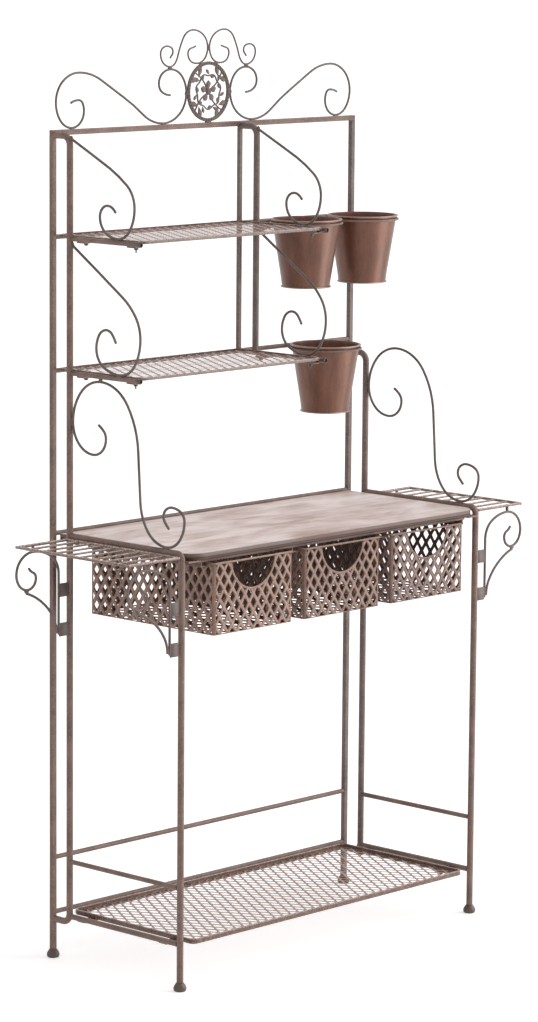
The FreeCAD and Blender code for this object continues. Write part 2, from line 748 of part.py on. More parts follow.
def pot(x, depth, rim_bottom):
    """A tapered pot with a flat rim and a small foot band, in flats that match its ring's."""
    top = rim_bottom + pot_rim_height
    low = top - pot_height
    floor = low + pot_foot_height
    neck = pot_neck_diameter/2
    foot = pot_foot_diameter/2
    profile = [(foot + pot_foot_band, low), (foot + pot_foot_band, floor), (foot, floor),
               (neck, rim_bottom), (neck + pot_rim_width, rim_bottom), (neck + pot_rim_width, top),
               (neck - pot_wall, top), (neck - pot_wall, rim_bottom), (foot - pot_wall, floor)]
    return turned(x, depth, profile, ring_sides)


def pots():
    """Three pots, each hung by its rim in a ring that is fixed to a back rail."""
    pieces = {}
    bore = pot_neck_diameter/2 + pot_ring_gap
    radius = bore + pot_ring_size
    depth = rail_radius + radius
    outer_x = half_span - outer_pot_inset
    for word, x, level in (("upper_outer", outer_x, upper_shelf_z),
                           ("upper_inner", outer_x - upper_pot_spacing, upper_shelf_z),
                           ("lower", outer_x - lower_pot_spacing, lower_shelf_z)):
        ring_top = level - pot_ring_drop + pot_ring_size/2
        ring = flat_ring(radius, pot_ring_size, pot_ring_size)
        ring.translate(at(x, depth, ring_top - pot_ring_size))
        pieces["pot_ring_" + word] = ring
        pieces["pot_" + word] = pot(x, depth, ring_top + pot_seat_gap)
    return pieces


def wings():
    """A slatted tray outside each side frame, on two scroll brackets tabbed to leg and upright."""
    pieces = {}
    z = table_rail_z - wing_drop
    rod = wing_rod_diameter/2
    inner = half_span + tube_radius + wing_rail_gap + rod
    outer = inner + wing_reach - wing_rod_diameter
    back = upright_depth + wing_back_inset
    front = frame_depth
    step = (front - back)/(slat_count + 1)
    for side, word in ((-1, "left"), (1, "right")):
        rods = [rail(at(side*x, back - rod, z), at(side*x, front + rod, z), wing_rod_diameter)
                for x in (inner, outer)]
        for i in range(slat_count + 2):
            ends = [at(side*x, back + step*i, z) for x in (inner + rod, outer - rod)]
            diameter = slat_diameter if 0 < i <= slat_count else wing_rod_diameter
            rods.append(rail(*ends, diameter, wire_sides))
        pieces["wing_tray_" + word] = group(rods)
        pieces["wing_brackets_" + word] = group(wing_brackets(side, (back, front), z - rod))
    return pieces


def wing_brackets(side, depths, top):
    """Two scroll brackets under a wing, each with a brace, and the tabs that hold them."""
    scroll_shares = [(0.71, 0.79, 240), (0.54, 0.67, 270), (0.735, 0.55, 0), (1, 0.73, 90),
                     (0.61, 1, 180), (0, 0.69, 270), (0, 0, 270)]
    brace_shares = [(0.775, 0.515, 197), (0.32, 0.35, 222), (0.05, 0.02, 270)]
    base = half_span + tube_radius + bracket_standoff
    reach = wing_reach - bracket_standoff - bracket_end_inset
    drop = bracket_drop - wire_seat
    low = top - bracket_drop
    routes = [wire_route(stops_from(shares, reach, drop, base, low))
              for shares in (scroll_shares, brace_shares)]
    span = sorted((side*(half_span + tube_radius), side*(base - wire_seat)))
    pieces = []
    for depth in depths:
        pieces += [front_bar(route, side, depth, wire_diameter, wire_sides) for route in routes]
        pieces += [block(span, about(depth, tab_thickness), about(low + share*drop, tab_height))
                   for share in tab_height_shares]
    return pieces


def build():
    """Every named piece of the rack."""
    pieces = {}
    for make in (back_frame, side_frames, shelf_bracket, shelf_arms, feet, crest, shelf_scrolls, side_scrolls,
                 shelves, table, basket_runners, baskets, pots, wings):
        pieces.update(make())
    return pieces


os.makedirs("parts", exist_ok=True)
for node, shape in build().items():
    shape.exportStep("parts/%s.step" % node)
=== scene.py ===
import math

import bmesh
import bpy
import numpy as np
from mathutils import Matrix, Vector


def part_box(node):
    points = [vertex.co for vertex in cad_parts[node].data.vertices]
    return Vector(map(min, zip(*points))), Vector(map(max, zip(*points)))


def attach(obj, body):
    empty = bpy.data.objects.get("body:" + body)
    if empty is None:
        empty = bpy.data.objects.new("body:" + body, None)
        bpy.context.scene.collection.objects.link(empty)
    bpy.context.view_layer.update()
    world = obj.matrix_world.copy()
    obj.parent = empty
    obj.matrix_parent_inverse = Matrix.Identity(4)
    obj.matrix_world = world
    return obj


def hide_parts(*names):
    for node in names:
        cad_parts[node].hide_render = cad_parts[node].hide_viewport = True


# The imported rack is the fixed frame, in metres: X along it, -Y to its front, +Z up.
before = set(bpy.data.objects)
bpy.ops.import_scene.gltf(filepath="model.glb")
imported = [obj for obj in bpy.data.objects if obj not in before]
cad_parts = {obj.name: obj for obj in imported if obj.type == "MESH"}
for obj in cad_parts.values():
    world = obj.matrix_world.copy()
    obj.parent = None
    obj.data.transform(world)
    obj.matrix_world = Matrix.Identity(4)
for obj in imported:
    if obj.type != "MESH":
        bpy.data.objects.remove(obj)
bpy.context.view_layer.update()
mm = 0.001


# Camera: a long lens at eye height, off the rack's left front corner.
# Its place and turns come from a fit to the frame's straight bars, for an image 1022 pixels high.
def placed(name, data):
    """A new object of the given data, linked to the scene."""
    made = bpy.data.objects.new(name, data)
    bpy.context.scene.collection.objects.link(made)
    return made


image_height = 1022
focal_pixels = 3982.4
sensor_width, farthest = 36, 500
camera_place = (-5.7823, -5.4592, 2.1035)
camera_yaw, camera_pitch, camera_roll = np.radians((-46.602, 8.742, 0.458))
camera = placed("camera", bpy.data.cameras.new("camera"))
camera.data.sensor_width = sensor_width
camera.data.lens = sensor_width*focal_pixels/image_height
camera.data.clip_end = farthest
camera.matrix_world = (Matrix.Translation(camera_place) @ Matrix.Rotation(camera_yaw, 4, "Z")
                       @ Matrix.Rotation(math.pi/2 - camera_pitch, 4, "X")
                       @ Matrix.Rotation(camera_roll, 4, "Z"))
bpy.context.scene.camera = camera
bpy.context.scene.view_settings.view_transform = "Standard"


# Studio: an even white dome, a broad lamp from the upper right front and a low panel of light at the
# right, over a white floor. The dome and the floor show as white to the eye and in gloss, while the
# light that falls on the rack stays at a plain level, and the floor keeps a soft shadow.
def linear(colour):
    """An sRGB hex value as linear red, green, blue and alpha."""
    srgb = np.array([int(colour[i:i + 2], 16) for i in (1, 3, 5)])/255
    return (*np.where(srgb <= 0.04045, srgb/12.92, ((srgb + 0.055)/1.055)**2.4), 1)


def add(tree, kind, inputs=None, **settings):
    """Adds a shader node with its settings; each input is a value, a socket or a node's main output."""
    node = tree.nodes.new("ShaderNode" + kind)
    for name, value in settings.items():
        setattr(node, name, value)
    for name, value in (inputs or {}).items():
        if isinstance(value, bpy.types.Node):
            value = value.outputs["Result" if "Result" in value.outputs else 0]
        if isinstance(value, bpy.types.NodeSocket):
            tree.links.new(value, node.inputs[name])
        else:
            node.inputs[name].default_value = value
    return node


def bare_tree(block):
    """The emptied node tree of a world or a material."""
    block.use_nodes = True
    block.node_tree.nodes.clear()
    return block.node_tree


def seen(tree):
    """1 for light that comes straight to the eye or by way of gloss or glass, else 0."""
    path = add(tree, "LightPath").outputs
    gloss = add(tree, "Math", {0: path["Is Glossy Ray"], 1: path["Is Transmission Ray"]}, operation="MAXIMUM")
    return add(tree, "Math", {0: path["Is Camera Ray"], 1: gloss}, operation="MAXIMUM")


dome_light = 0.55
lamp_light = 1.25
lamp_spread, lamp_lean, lamp_turn = np.radians((40, 50, 50))
panel_light, panel_turn = 3.6, math.radians(36)
panel_size, panel_place = (2.2, 1.5), (2.3, -2.6, 0.77)
floor_half = 150.0
floor_white = "#f2f1f1"
floor_lift = 0.5
world = bpy.data.worlds.new("white_dome")
tree = bare_tree(world)
strength = add(tree, "Math", {0: seen(tree), 1: 1 - dome_light, 2: dome_light}, operation="MULTIPLY_ADD")
sky = add(tree, "Background", {"Color": (1, 1, 1, 1), "Strength": strength})
add(tree, "OutputWorld", {"Surface": sky})
bpy.context.scene.world = world
lamp = placed("broad_lamp", bpy.data.lights.new("broad_lamp", "SUN"))
lamp.data.energy = lamp_light
lamp.data.angle = lamp_spread
lamp.rotation_euler = (lamp_lean, 0, lamp_turn)
panel = placed("low_panel", bpy.data.lights.new("low_panel", "AREA"))
panel.data.shape = "RECTANGLE"
panel.data.size, panel.data.size_y = panel_size
panel.data.energy = panel_light*math.pi*panel_size[0]*panel_size[1]
panel.location = panel_place
panel.rotation_euler = (math.pi/2, 0, panel_turn)
panel.visible_camera = False
white_floor = bpy.data.materials.new("white_floor")
tree = bare_tree(white_floor)
matt = add(tree, "BsdfDiffuse", {"Color": linear(floor_white)})
lift = add(tree, "Math", {0: seen(tree), 1: floor_lift}, operation="MULTIPLY")
glow = add(tree, "Emission", {"Strength": lift})
both = add(tree, "AddShader", {0: matt, 1: glow})
add(tree, "OutputMaterial", {"Surface": both})
floor_mesh = bpy.data.meshes.new("floor")
floor_corners = floor_half*np.array([[-1, -1, 0], [1, -1, 0], [1, 1, 0], [-1, 1, 0]])
floor_mesh.from_pydata(floor_corners, [], [(0, 1, 2, 3)])
floor_mesh.materials.append(white_floor)
floor = placed("floor", floor_mesh)


# Back frame: posts and top rail of square steel bar, a thinner middle post in two lengths, and
# round rails between the posts. It is welded up, then painted an antique brown that is rubbed
# back to a redder coat along the edges.
def antique_paint(name, dark, main, rubbed_and_highlight, blotch=45*mm, fleck=4*mm, roughness=(0.36, 0.56)):
    """Satin brown paint on steel: clouds from dark to main, flecks, and a paler rubbed coat where
    wear_and_highlight is 1. That coat is wear on edges, and a painted highlight on the shelf rims' top folds
    and the wing slats' tops.
    """
    # Hand rubbed paint looks cloudy, with a soft sheen. Its flecks are well under a millimetre, too
    # fine to show, so they are drawn coarser.
    paint = bpy.data.materials.new(name)
    tree = bare_tree(paint)
    place = add(tree, "TexCoord").outputs["Object"]
    cloud = add(tree, "TexNoise", {"Vector": place, "Scale": 1/blotch, "Detail": 4.0, "Roughness": 0.6})
    flecks = add(tree, "TexNoise", {"Vector": place, "Scale": 1/fleck, "Detail": 3.0})
    ramp = add(tree, "MapRange", {"Value": cloud, "From Min": 0.34, "From Max": 0.66})
    coat = add(tree, "Mix", {"Factor": ramp, "A": linear(dark), "B": linear(main)}, data_type="RGBA")
    wear_and_highlight = add(tree, "Attribute", attribute_name="wear_and_highlight").outputs["Fac"]
    patchy = add(tree, "MapRange", {"Value": flecks, "From Min": 0.40, "From Max": 0.62, "To Min": 0.15})
    rub_and_highlight = add(tree, "Math", {0: wear_and_highlight, 1: patchy}, operation="MULTIPLY")
    haze = add(tree, "MapRange", {"Value": flecks, "From Min": 0.52, "From Max": 0.72, "To Max": 0.45})
    most = add(tree, "Math", {0: rub_and_highlight, 1: haze}, operation="MAXIMUM")
    colour = add(tree, "Mix", {"Factor": most, "A": coat, "B": linear(rubbed_and_highlight)}, data_type="RGBA")
    gloss = add(tree, "MapRange", {"Value": flecks, "To Min": roughness[0], "To Max": roughness[1]})
    bump = add(tree, "Bump", {"Height": flecks, "Strength": 0.25, "Distance": 0.4*mm})
    shader = add(tree, "BsdfPrincipled", {"Base Color": colour, "Roughness": gloss, "Normal": bump,
                                          "Specular IOR Level": 0.4})
    add(tree, "OutputMaterial", {"Surface": shader})
    return paint


def ring_faces(rings, sides, closed):
    """Quads between the neighbouring rings of a grid; an open run also gets a flat face at each end."""
    index = np.arange(rings*sides).reshape(rings, sides)
    ahead = np.roll(index, -1, 0)
    quads = np.stack([index, ahead, np.roll(ahead, -1, 1), np.roll(index, -1, 1)], -1)
    if closed:
        return [quads.reshape(-1, 4)]
    return [quads[:-1].reshape(-1, 4), np.stack([index[0], index[-1, ::-1]])]


def turns(count):
    """The angles of evenly spaced points round a full turn."""
    return 2*np.pi*np.arange(count)/count


def round_section(radius, sides=16):
    """Points round a circle, each across the path, along the normal, and its wear_and_highlight value."""
    turn = turns(sides)
    return np.stack([radius*np.cos(turn), radius*np.sin(turn), np.zeros(sides)], 1)


def rounded(low, high, radii, inset=0, steps=7):
    """Complex points anticlockwise round a rectangle, from its high corner on. Each corner is a quarter
    circle of its own radius, and the whole is drawn in by an inset."""
    turn = np.exp(1j*np.linspace(0, np.pi/2, steps))
    corners = ((high[0], high[1]), (low[0], high[1]), (low[0], low[1]), (high[0], low[1]))
    return np.concatenate([complex(*corner) + 1j**k*((radius - inset)*turn - radius*(1 + 1j))
                           for k, (corner, radius) in enumerate(zip(corners, radii))])


def bar_section(width, height, corner):
    """Points round a rectangle whose corners are quarter circles, worn along the middle of each."""
    half = np.array([width, height])/2
    outline = rounded(-half, half, [corner]*4, steps=4)
    return np.stack([outline.real, outline.imag, np.tile([0, 1, 1, 0], 4)], 1)


def swept(path, section, normal, lip=0.6*mm, closed=False):
    """A section carried along a path in a plane: its first coordinate runs across the path in that
    plane and its second along the plane's normal. Each cut end is drawn in over a short lip."""
    path = np.asarray(path, float)
    run = np.roll(path, -1, 0) - np.roll(path, 1, 0) if closed else np.gradient(path, axis=0)
    run /= np.linalg.norm(run, axis=1, keepdims=True)
    size = np.ones(len(path))
    if not closed:
        steps = lip*np.array([0, 0.3, 1])[:, None]
        draw_shares = np.array([0.62, 0.87, 1])
        path = np.concatenate([path[0] + run[0]*steps, path[1:-1], path[-1] - run[-1]*steps[::-1]])
        run = np.concatenate([run[[0, 0, 0]], run[1:-1], run[[-1, -1, -1]]])
        size = np.concatenate([draw_shares, size[1:-1], draw_shares[::-1]])
    across = np.cross(run, normal)
    shift = section[None, :, 0, None]*across[:, None] + section[None, :, 1, None]*np.asarray(normal)
    points = path[:, None] + size[:, None, None]*shift
    wear_and_highlight = np.broadcast_to(section[:, 2], points.shape[:2])
    return points.reshape(-1, 3), ring_faces(len(path), len(section), closed), wear_and_highlight.reshape(-1)


def piece(name, shells, material, nodes, body="frame", sharp=math.radians(40)):
    """One object from shells of points, faces and wear_and_highlight values. It rides on a body and stands
    for CAD nodes.
    """
    starts = np.cumsum([0] + [len(points) for points, _, _ in shells])
    faces = [face for start, (_, groups, _) in zip(starts, shells) for group in groups
             for face in (group + start).tolist()]
    mesh = bpy.data.meshes.new(name)
    mesh.from_pydata(np.concatenate([points for points, _, _ in shells]), [], faces)
    wear_and_highlight = np.concatenate([values for _, _, values in shells]).astype(np.float32)
    mesh.attributes.new("wear_and_highlight", "FLOAT", "POINT").data.foreach_set("value", wear_and_highlight)
    mesh.shade_smooth()
    mesh.set_sharp_from_angle(angle=sharp)
    mesh.materials.append(material)
    made = placed(name, mesh)
    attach(made, body)
    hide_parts(*nodes)
    return made


def ends(node):
    """The lowest and highest corner of a CAD node, as arrays."""
    return [np.array(corner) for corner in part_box(node)]


def boxed_bar(low, high, axis, section):
    """A bar down the middle of a box, along one axis; its normal is up, or forward for an upright."""
    start, end = (low + high)/2, (low + high)/2
    start[axis], end[axis] = low[axis], high[axis]
    return swept([start, end], section, up if axis < 2 else forward)


def edge_bars(node, axis, across, thick, sections):
    """Two bars along one axis of a CAD node's box, at its lower and upper edge across another axis."""
    low, high = ends(node)
    gap = np.zeros(3)
    gap[across] = (high - low)[across] - thick
    return [boxed_bar(low, high - gap, axis, sections[0]), boxed_bar(low + gap, high, axis, sections[1])]


up, forward, along = np.array([0, 0, 1.0]), np.array([0, -1.0, 0]), np.array([1.0, 0, 0])
iron_dark, iron_main = "#6c5850", "#8c7268"
iron = antique_paint("antique_brown_iron", iron_dark, iron_main, "#b08d7d")
# A darker, greyer copy of the iron paints shade on the right-hand back post, the middle post, the right
# upright and the bracket tube.
painted_shade_grey_iron = antique_paint("painted_shade_grey_brown_iron", "#655854", "#82706a", "#a58c82")
bar_corner, coat = 1.2*mm, 0.3*mm
for node, axis, paint in (("back_post_left", 2, iron), ("back_post_right", 2, painted_shade_grey_iron),
                          ("top_rail", 0, iron)):
    low, high = ends(node)
    size = np.sort(high - low) + 2*coat
    bar = boxed_bar(low, high, axis, bar_section(size[0], size[1], bar_corner))
    piece(node + "_bar", [bar], paint, [node])
upper_rail_low, upper_rail_high = ends("upper_shelf_rail")
rail_radius = (upper_rail_high - upper_rail_low)[2]/2
rail_section = round_section(rail_radius + coat)
for node in ("upper_shelf_rail", "lower_shelf_rail", "table_back_rail"):
    piece(node + "_rod", [boxed_bar(*ends(node), 0, rail_section)], iron, [node])
low_rods = edge_bars("low_back_rails", 0, 2, 2*rail_radius, (rail_section, rail_section))
piece("low_back_rods", low_rods, iron, ["low_back_rails"])
low, high = ends("middle_post")
post_section = bar_section(high[0] - low[0] + 2*coat, high[1] - low[1] + 2*coat, bar_corner)
lengths = [boxed_bar(low, np.append(high[:2], upper_rail_low[2]), 2, post_section),
           boxed_bar(np.append(low[:2], upper_rail_high[2]), high, 2, post_section)]
piece("middle_post_bar", lengths, painted_shade_grey_iron, ["middle_post"])


# Side frames: round steel tube. Each upright is bent back to the rear post at both ends, each
# front leg is bent over into the table's side rail, and two low rails tie leg and upright.
def middle(node):
    """The middle of a CAD node's box."""
    return sum(ends(node))/2


def bent(corners, radius):
    """A route of complex places with each inner corner rounded to an arc of the radius, in 6 degree steps."""
    places = np.array(corners)
    into = np.diff(places)
    into /= np.abs(into)
    route = [places[:1]]
    for corner, heading, turn in zip(places[1:-1], into, np.angle(into[1:]/into[:-1])):
        start = corner - heading*radius*abs(math.tan(turn/2))
        angles = turn*np.linspace(0, 1, 2 + int(abs(turn)/math.radians(6)))
        swing = 1j*heading*radius*np.sign(turn)
        route.append(start + swing - swing*np.exp(1j*angles))
    return np.concatenate(route + [places[-1:]])


def in_plane(route, origin, across, upward=up):
    """Complex places as points: their two parts are steps from an origin along two directions."""
    return np.asarray(origin) + route.real[..., None]*across + route.imag[..., None]*upward


def bent_tube(node, radius, turned_in=False):
    """A tube along the front of a CAD node's box: in from its back edge at the top, down, and either
    cut off at the bottom or turned in to the back edge again."""
    low, high = ends(node)
    front, top, bottom = low[1] + tube_radius, high[2] - tube_radius, low[2] + tube_radius
    corners = [high[1] + 1j*top, front + 1j*top]
    corners += [front + 1j*bottom, high[1] + 1j*bottom] if turned_in else [front + 1j*low[2]]
    path = in_plane(bent(corners, radius), (middle(node)[0], 0, 0), -forward)
    return swept(path, tube_section, along)


bend_radius, leg_bend = 18*mm, 12*mm
low, high = ends("upright_left")
tube_radius = (high[0] - low[0])/2
tube_section = round_section(tube_radius + coat, 20)
floor_section = round_section(5.6*mm)
for word, paint in (("left", iron), ("right", painted_shade_grey_iron)):
    node = "upright_" + word
    piece(node + "_tube", [bent_tube(node, bend_radius, True)], paint, [node])
    node = "front_leg_" + word
    piece(node + "_tube", [bent_tube(node, leg_bend)], iron, [node])
    node = "low_side_rails_" + word
    rods = edge_bars(node, 1, 2, 2*rail_radius, (floor_section, rail_section))
    piece(node + "_rods", rods, iron, [node])


# Upper right bracket and the four shelf arms: a tube hung from the middle post, and round rods that
# run forward under the two short shelves, each closed by a dark moulded cap with a hollow face.
def moulded_plastic(name, colour, grit=1.5*mm):
    """Dark moulded plastic: one colour with a faint moulding grain and a satin skin."""
    # It looks dark and even. The mould's grain is too fine to show, so it is drawn coarser.
    plastic = bpy.data.materials.new(name)
    tree = bare_tree(plastic)
    place = add(tree, "TexCoord").outputs["Object"]
    grain = add(tree, "TexNoise", {"Vector": place, "Scale": 1/grit, "Detail": 2.0})
    tone = add(tree, "MapRange", {"Value": grain, "To Min": 0.8, "To Max": 1.2})
    shade = add(tree, "Mix", {"Factor": 1.0, "A": linear(colour), "B": tone}, data_type="RGBA",
                blend_type="MULTIPLY")
    bump = add(tree, "Bump", {"Height": grain, "Strength": 0.15, "Distance": 0.2*mm})
    shader = add(tree, "BsdfPrincipled", {"Base Color": shade, "Roughness": 0.38, "Normal": bump})
    add(tree, "OutputMaterial", {"Surface": shader})
    return plastic


def lathe(x, y, profile, sides, wear_and_highlight=None):
    """A profile of radius and height turned about an upright axis; the turn runs clockwise from above."""
    profile = np.asarray(profile, float)
    turn = -turns(sides)
    points = np.stack([x + profile[:, :1]*np.cos(turn), y + profile[:, :1]*np.sin(turn),
                       np.broadcast_to(profile[:, 1:], (len(profile), sides))], -1)
    worn = np.zeros(len(profile)) if wear_and_highlight is None else wear_and_highlight
    return points.reshape(-1, 3), ring_faces(len(profile), sides, False), np.repeat(worn, sides)


def laid(shell, origin, across, upward):
    """A shell moved to an origin and turned, so that its first two axes run along given directions."""
    points, faces, wear_and_highlight = shell
    out = np.cross(across, upward)
    return np.asarray(origin) + points @ np.stack([across, upward, out]), faces, wear_and_highlight


piece("bracket_tube", [bent_tube("bracket_upright", bend_radius)], painted_shade_grey_iron, ["bracket_upright"])
cap_plastic = moulded_plastic("dark_moulded_cap", "#5b4a42")
cap_low, cap_high = ends("arm_end_caps")
cap_radius, cap_length = 5.5*mm, (cap_high - cap_low)[1]
cap_shares = [(0.92, 0), (1, 0.06), (1, 0.86), (0.93, 0.97), (0.82, 1), (0.70, 0.97), (0.62, 0.62)]
cap = lathe(0, 0, np.array(cap_shares)*(cap_radius, cap_length), 24)
caps = []
for node in ("upper_arm_left", "lower_arm_left", "upper_arm_right", "lower_arm_right"):
    piece(node + "_rod", [boxed_bar(*ends(node), 1, rail_section)], iron, [node])
    x, _, z = middle(node)
    caps.append(laid(cap, (x, cap_high[1], z), along, up))
piece("arm_caps", caps, cap_plastic, ["arm_end_caps"])

# Feet: bell-shaped plastic caps pushed over the ends of the back posts and front legs, drawn in
# to the bar at the top and rounded under to a flat sole.
foot_shares = [(0.72, 0), (0.83, 0.03), (0.93, 0.12), (0.99, 0.25), (1, 0.37), (0.97, 0.50), (0.90, 0.63),
               (0.81, 0.75), (0.72, 0.85), (0.64, 0.94), (0.58, 1)]
leg_x = [middle("front_leg_" + word)[0] for word in ("left", "right")]
leg_y = [ends("front_leg_left")[0][1] + tube_radius, middle("back_post_left")[1]]
foot_high = ends("foot_caps")[1]
foot_profile = np.array(foot_shares)*(foot_high[0] - leg_x[1], foot_high[2])
feet = [lathe(x, y, foot_profile, 32) for x in leg_x for y in leg_y]
piece("feet", feet, cap_plastic, ["foot_caps"])


# Crest: two large S scrolls of bent wire lie on the top rail, and two smaller ones stand on them
# and on the medallion. The wire is cold bent, touched with weld where it meets its neighbour.
def arc(start, heading, end):
    """Points after start on the circle that leaves it with a heading and reaches end: the chord to
    a point turns from the heading by half as much as the circle does."""
    chord = end - start
    turn = 2*np.angle(chord/heading) + 1e-9
    half = turn/2*np.linspace(0, 1, 2 + int(abs(turn)/math.radians(6)))[1:]
    return start + abs(chord)*np.sin(half)/math.sin(turn/2)*heading*np.exp(1j*half)


def two_arcs(start, heading, end, heading_end):
    """Points after start on two arcs that share a tangent where they meet, with given end headings."""
    chord = end - start
    lean = (chord*(heading + heading_end).conjugate()).real
    spread = 2 - 2*(heading*heading_end.conjugate()).real
    if spread < 1e-4:
        reach = abs(chord)**2/(2*lean)
    else:
        reach = (math.sqrt(lean**2 + spread*abs(chord)**2) - lean)/spread
    meeting = (start + end + reach*(heading - heading_end))/2
    between = (end - heading_end*reach) - (start + heading*reach)
    return np.concatenate([arc(start, heading, meeting), arc(meeting, between/abs(between), end)])


def bent_wire(stops):
    """A wire's route through complex places with headings in degrees, by two arcs from each to the next."""
    places = [place for place, _ in stops]
    headings = np.exp(1j*np.radians([degrees for _, degrees in stops]))
    runs = zip(places, headings, places[1:], headings[1:])
    return np.concatenate([places[:1]] + [two_arcs(*run) for run in runs])


def stops_from(shares, width, height, base):
    """Stops from shares of a scroll's width and height, with headings, about its lower inner corner."""
    return [(base + a*width + 1j*b*height, heading) for a, b, heading in shares]


def weld(place, size, rings=5, sides=8):
    """A small rounded bead of weld: an egg with half axes of the given size."""
    lift = np.linspace(-0.92, 0.92, rings)
    points, faces, wear_and_highlight = lathe(0, 0, np.stack([np.sqrt(1 - lift**2), lift], 1), sides)
    return np.asarray(place) + points*np.asarray(size), faces, wear_and_highlight


wire_radius, wire_seat, wire_lip = 2.5*mm, 2.7*mm, 1.2*mm
wire, crest_wire, crown_wire = (round_section(radius, 12) for radius in (2.65*mm, 2.3*mm, 1.85*mm))
wire_iron = antique_paint("antique_brown_wire", "#5c504c", "#746763", "#927d75")
bead = np.array([6.5, 3.4, 3.8])*mm
crest_end_inset, crest_height = 8*mm, 107*mm
crown_width, crown_height, crown_gap = 134*mm, 72*mm, 5.2*mm
crown_contact = math.radians(20)
ring_weld_drop = 2*mm
large_shares = [(0.89, 0.45, 150), (0.83, 0.50, 180), (0.79, 0.30, 270), (0.88, 0, 0),
                (1, 0.47, 90), (0.83, 1, 180), (0.49, 0.52, 209), (0.18, 0, 180),
                (0, 0.55, 90), (0.125, 1, 0), (0.216, 0.74, 270), (0.125, 0.52, 180)]
inner_crown_shares = [(0.25, 0.55, -20), (0.42, 0.35, 270)]
outer_crown_shares = [(0, 0.50, 90), (0.315, 1, 0), (0.635, 0.29, -73), (0.80, 0, 0), (1, 0.36, 90),
                      (0.87, 0.57, 180), (0.74, 0.41, 270), (0.80, 0.23, 300)]
rail_touch_shares, crown_touch_share, crown_join_share = (0.18, 0.88), 0.80, 0.5
rail_y, rail_top = middle("top_rail")[1], ends("top_rail")[1][2]
post_x = middle("back_post_right")[0]
ring_low, ring_high = ends("medallion_ring")
ring_radius = (ring_high - ring_low)[0]/2
ring_z = ring_high[2] - ring_radius
ring_seat = ring_radius + wire_seat
large_length = post_x - crest_end_inset - ring_seat
large = bent_wire(stops_from(large_shares, large_length, crest_height, ring_seat + 1j*(rail_top + wire_seat)))
crown_base = wire_seat + 1j*(rail_top + crest_height + wire_seat + crown_gap)
on_ring = ring_seat*1j*np.exp(-1j*crown_contact) + 1j*ring_z
crown = bent_wire(stops_from(inner_crown_shares, crown_width, crown_height, crown_base)
                  + [(on_ring, 180 - math.degrees(crown_contact))]
                  + stops_from(outer_crown_shares, crown_width, crown_height, crown_base))
crown_touch = crown_base + crown_touch_share*crown_width
crown_join_z = crown_base.imag + crown_join_share*crown_height
rail_plane = (0, rail_y, 0)
for side, word in ((-1, "left"), (1, "right")):
    shells = [swept(in_plane(large, rail_plane, side*along), crest_wire, forward, wire_lip)]
    shells += [weld((side*(ring_seat + share*large_length), rail_y, rail_top), bead)
               for share in rail_touch_shares]
    shells.append(weld((side*(ring_radius + wire_radius), rail_y, ring_z - ring_weld_drop), bead[[2, 1, 0]]))
    piece("crest_wire_" + word, shells, wire_iron, ["crest_scroll_" + word])
    shells = [swept(in_plane(crown, rail_plane, side*along), crown_wire, forward, wire_lip)]
    shells += [weld((side*place.real, rail_y, place.imag - wire_seat), bead)
               for place in (crown_touch, on_ring)]
    if word == "right":
        shells.append(weld((0, rail_y, crown_join_z), bead[[2, 1, 0]]))
    piece("crown_wire_" + word, shells, wire_iron, ["crown_scroll_" + word])


# Medallion: a flat cast ring on a small foot, with a pierced casting of a flower on leafy stems
# and a wreath inside it. Its petals and leaves swell a little towards their middles.
def leaf(root, tip, width, steps=13, sides=10):
    """A leaf or petal from root to tip, both complex places: a flat oval section carried along the
    line between them, as wide as a sine of the way gone, fullest past the middle."""
    share = np.linspace(0.03, 0.97, steps)
    girth = np.sin(np.pi*share**1.3)[:, None]
    turn = turns(sides)
    way = (tip - root)/abs(tip - root)
    line = (root + (tip - root)*share)[:, None] + 1j*way*width/2*girth*np.cos(turn)
    depth = rail_y + leaf_thickness/2*np.sqrt(girth)*np.sin(turn)
    points = np.stack([line.real, depth, line.imag], -1).reshape(-1, 3)
    return points, ring_faces(steps, sides, False), np.repeat(np.sin(np.pi*share), sides)*0.5


ring_band, ring_thickness, ring_corner = 7*mm, (ring_high - ring_low)[1], 1.6*mm
foot_width, foot_lap, foot_corner = 14*mm, 2*mm, 1*mm
beads_round, ring_bead = 52, np.full(3, 2.0*mm)
foot_z = (rail_top + ring_low[2] + ring_band/2)/2
foot = swept([(-foot_width/2, rail_y, foot_z), (foot_width/2, rail_y, foot_z)],
             bar_section(ring_band/2 + foot_lap, ring_thickness, foot_corner), forward)
band_radius = ring_radius - ring_band/2
band = in_plane(1j*ring_z + band_radius*np.exp(1j*turns(96)), rail_plane, along)
band_section = bar_section(ring_band, ring_thickness, ring_corner)
bead_places = in_plane(1j*ring_z + band_radius*np.exp(1j*turns(beads_round)), rail_plane, along)
shells = [swept(band, band_section, forward, closed=True), foot]
shells += [weld(place + forward*ring_thickness/2, ring_bead, 4, 6) for place in bead_places]
piece("medallion_band", shells, wire_iron, ["medallion_ring"])
spray_lap = 0.5*mm
inner_radius = ring_radius - ring_band + spray_lap
flower_z = 1j*ring_z
petals, petal_phase_share = 5, 0.25
petal_root, petal_tip, petal_width = 4*mm, 23*mm, 14*mm
flower_eye = np.array([7.5, 3.4, 7.5])*mm
leaf_thickness = 4.5*mm
stem = round_section(1.7*mm, 8)
sprays, spray_root, spray_turns = 4, 6*mm, (-25, 20)
leaf_back, leaf_length, leaf_width, leaf_leans = 14*mm, 25*mm, 11*mm, (-62, 62)
vine_radius, vine_wave, vine_waves, vine_phase_share = 34*mm, 2.2*mm, 7, 0.3
vine_leaf_width, vine_leaves = 7.5*mm, ((118, 12*mm), (48, 15*mm))
shells = [leaf(flower_z + petal_root*way, flower_z + petal_tip*way, petal_width)
          for way in np.exp(2j*np.pi*(np.arange(petals) + petal_phase_share)/petals)]
shells.append(weld((0, rail_y, ring_z), flower_eye, 7, 14))
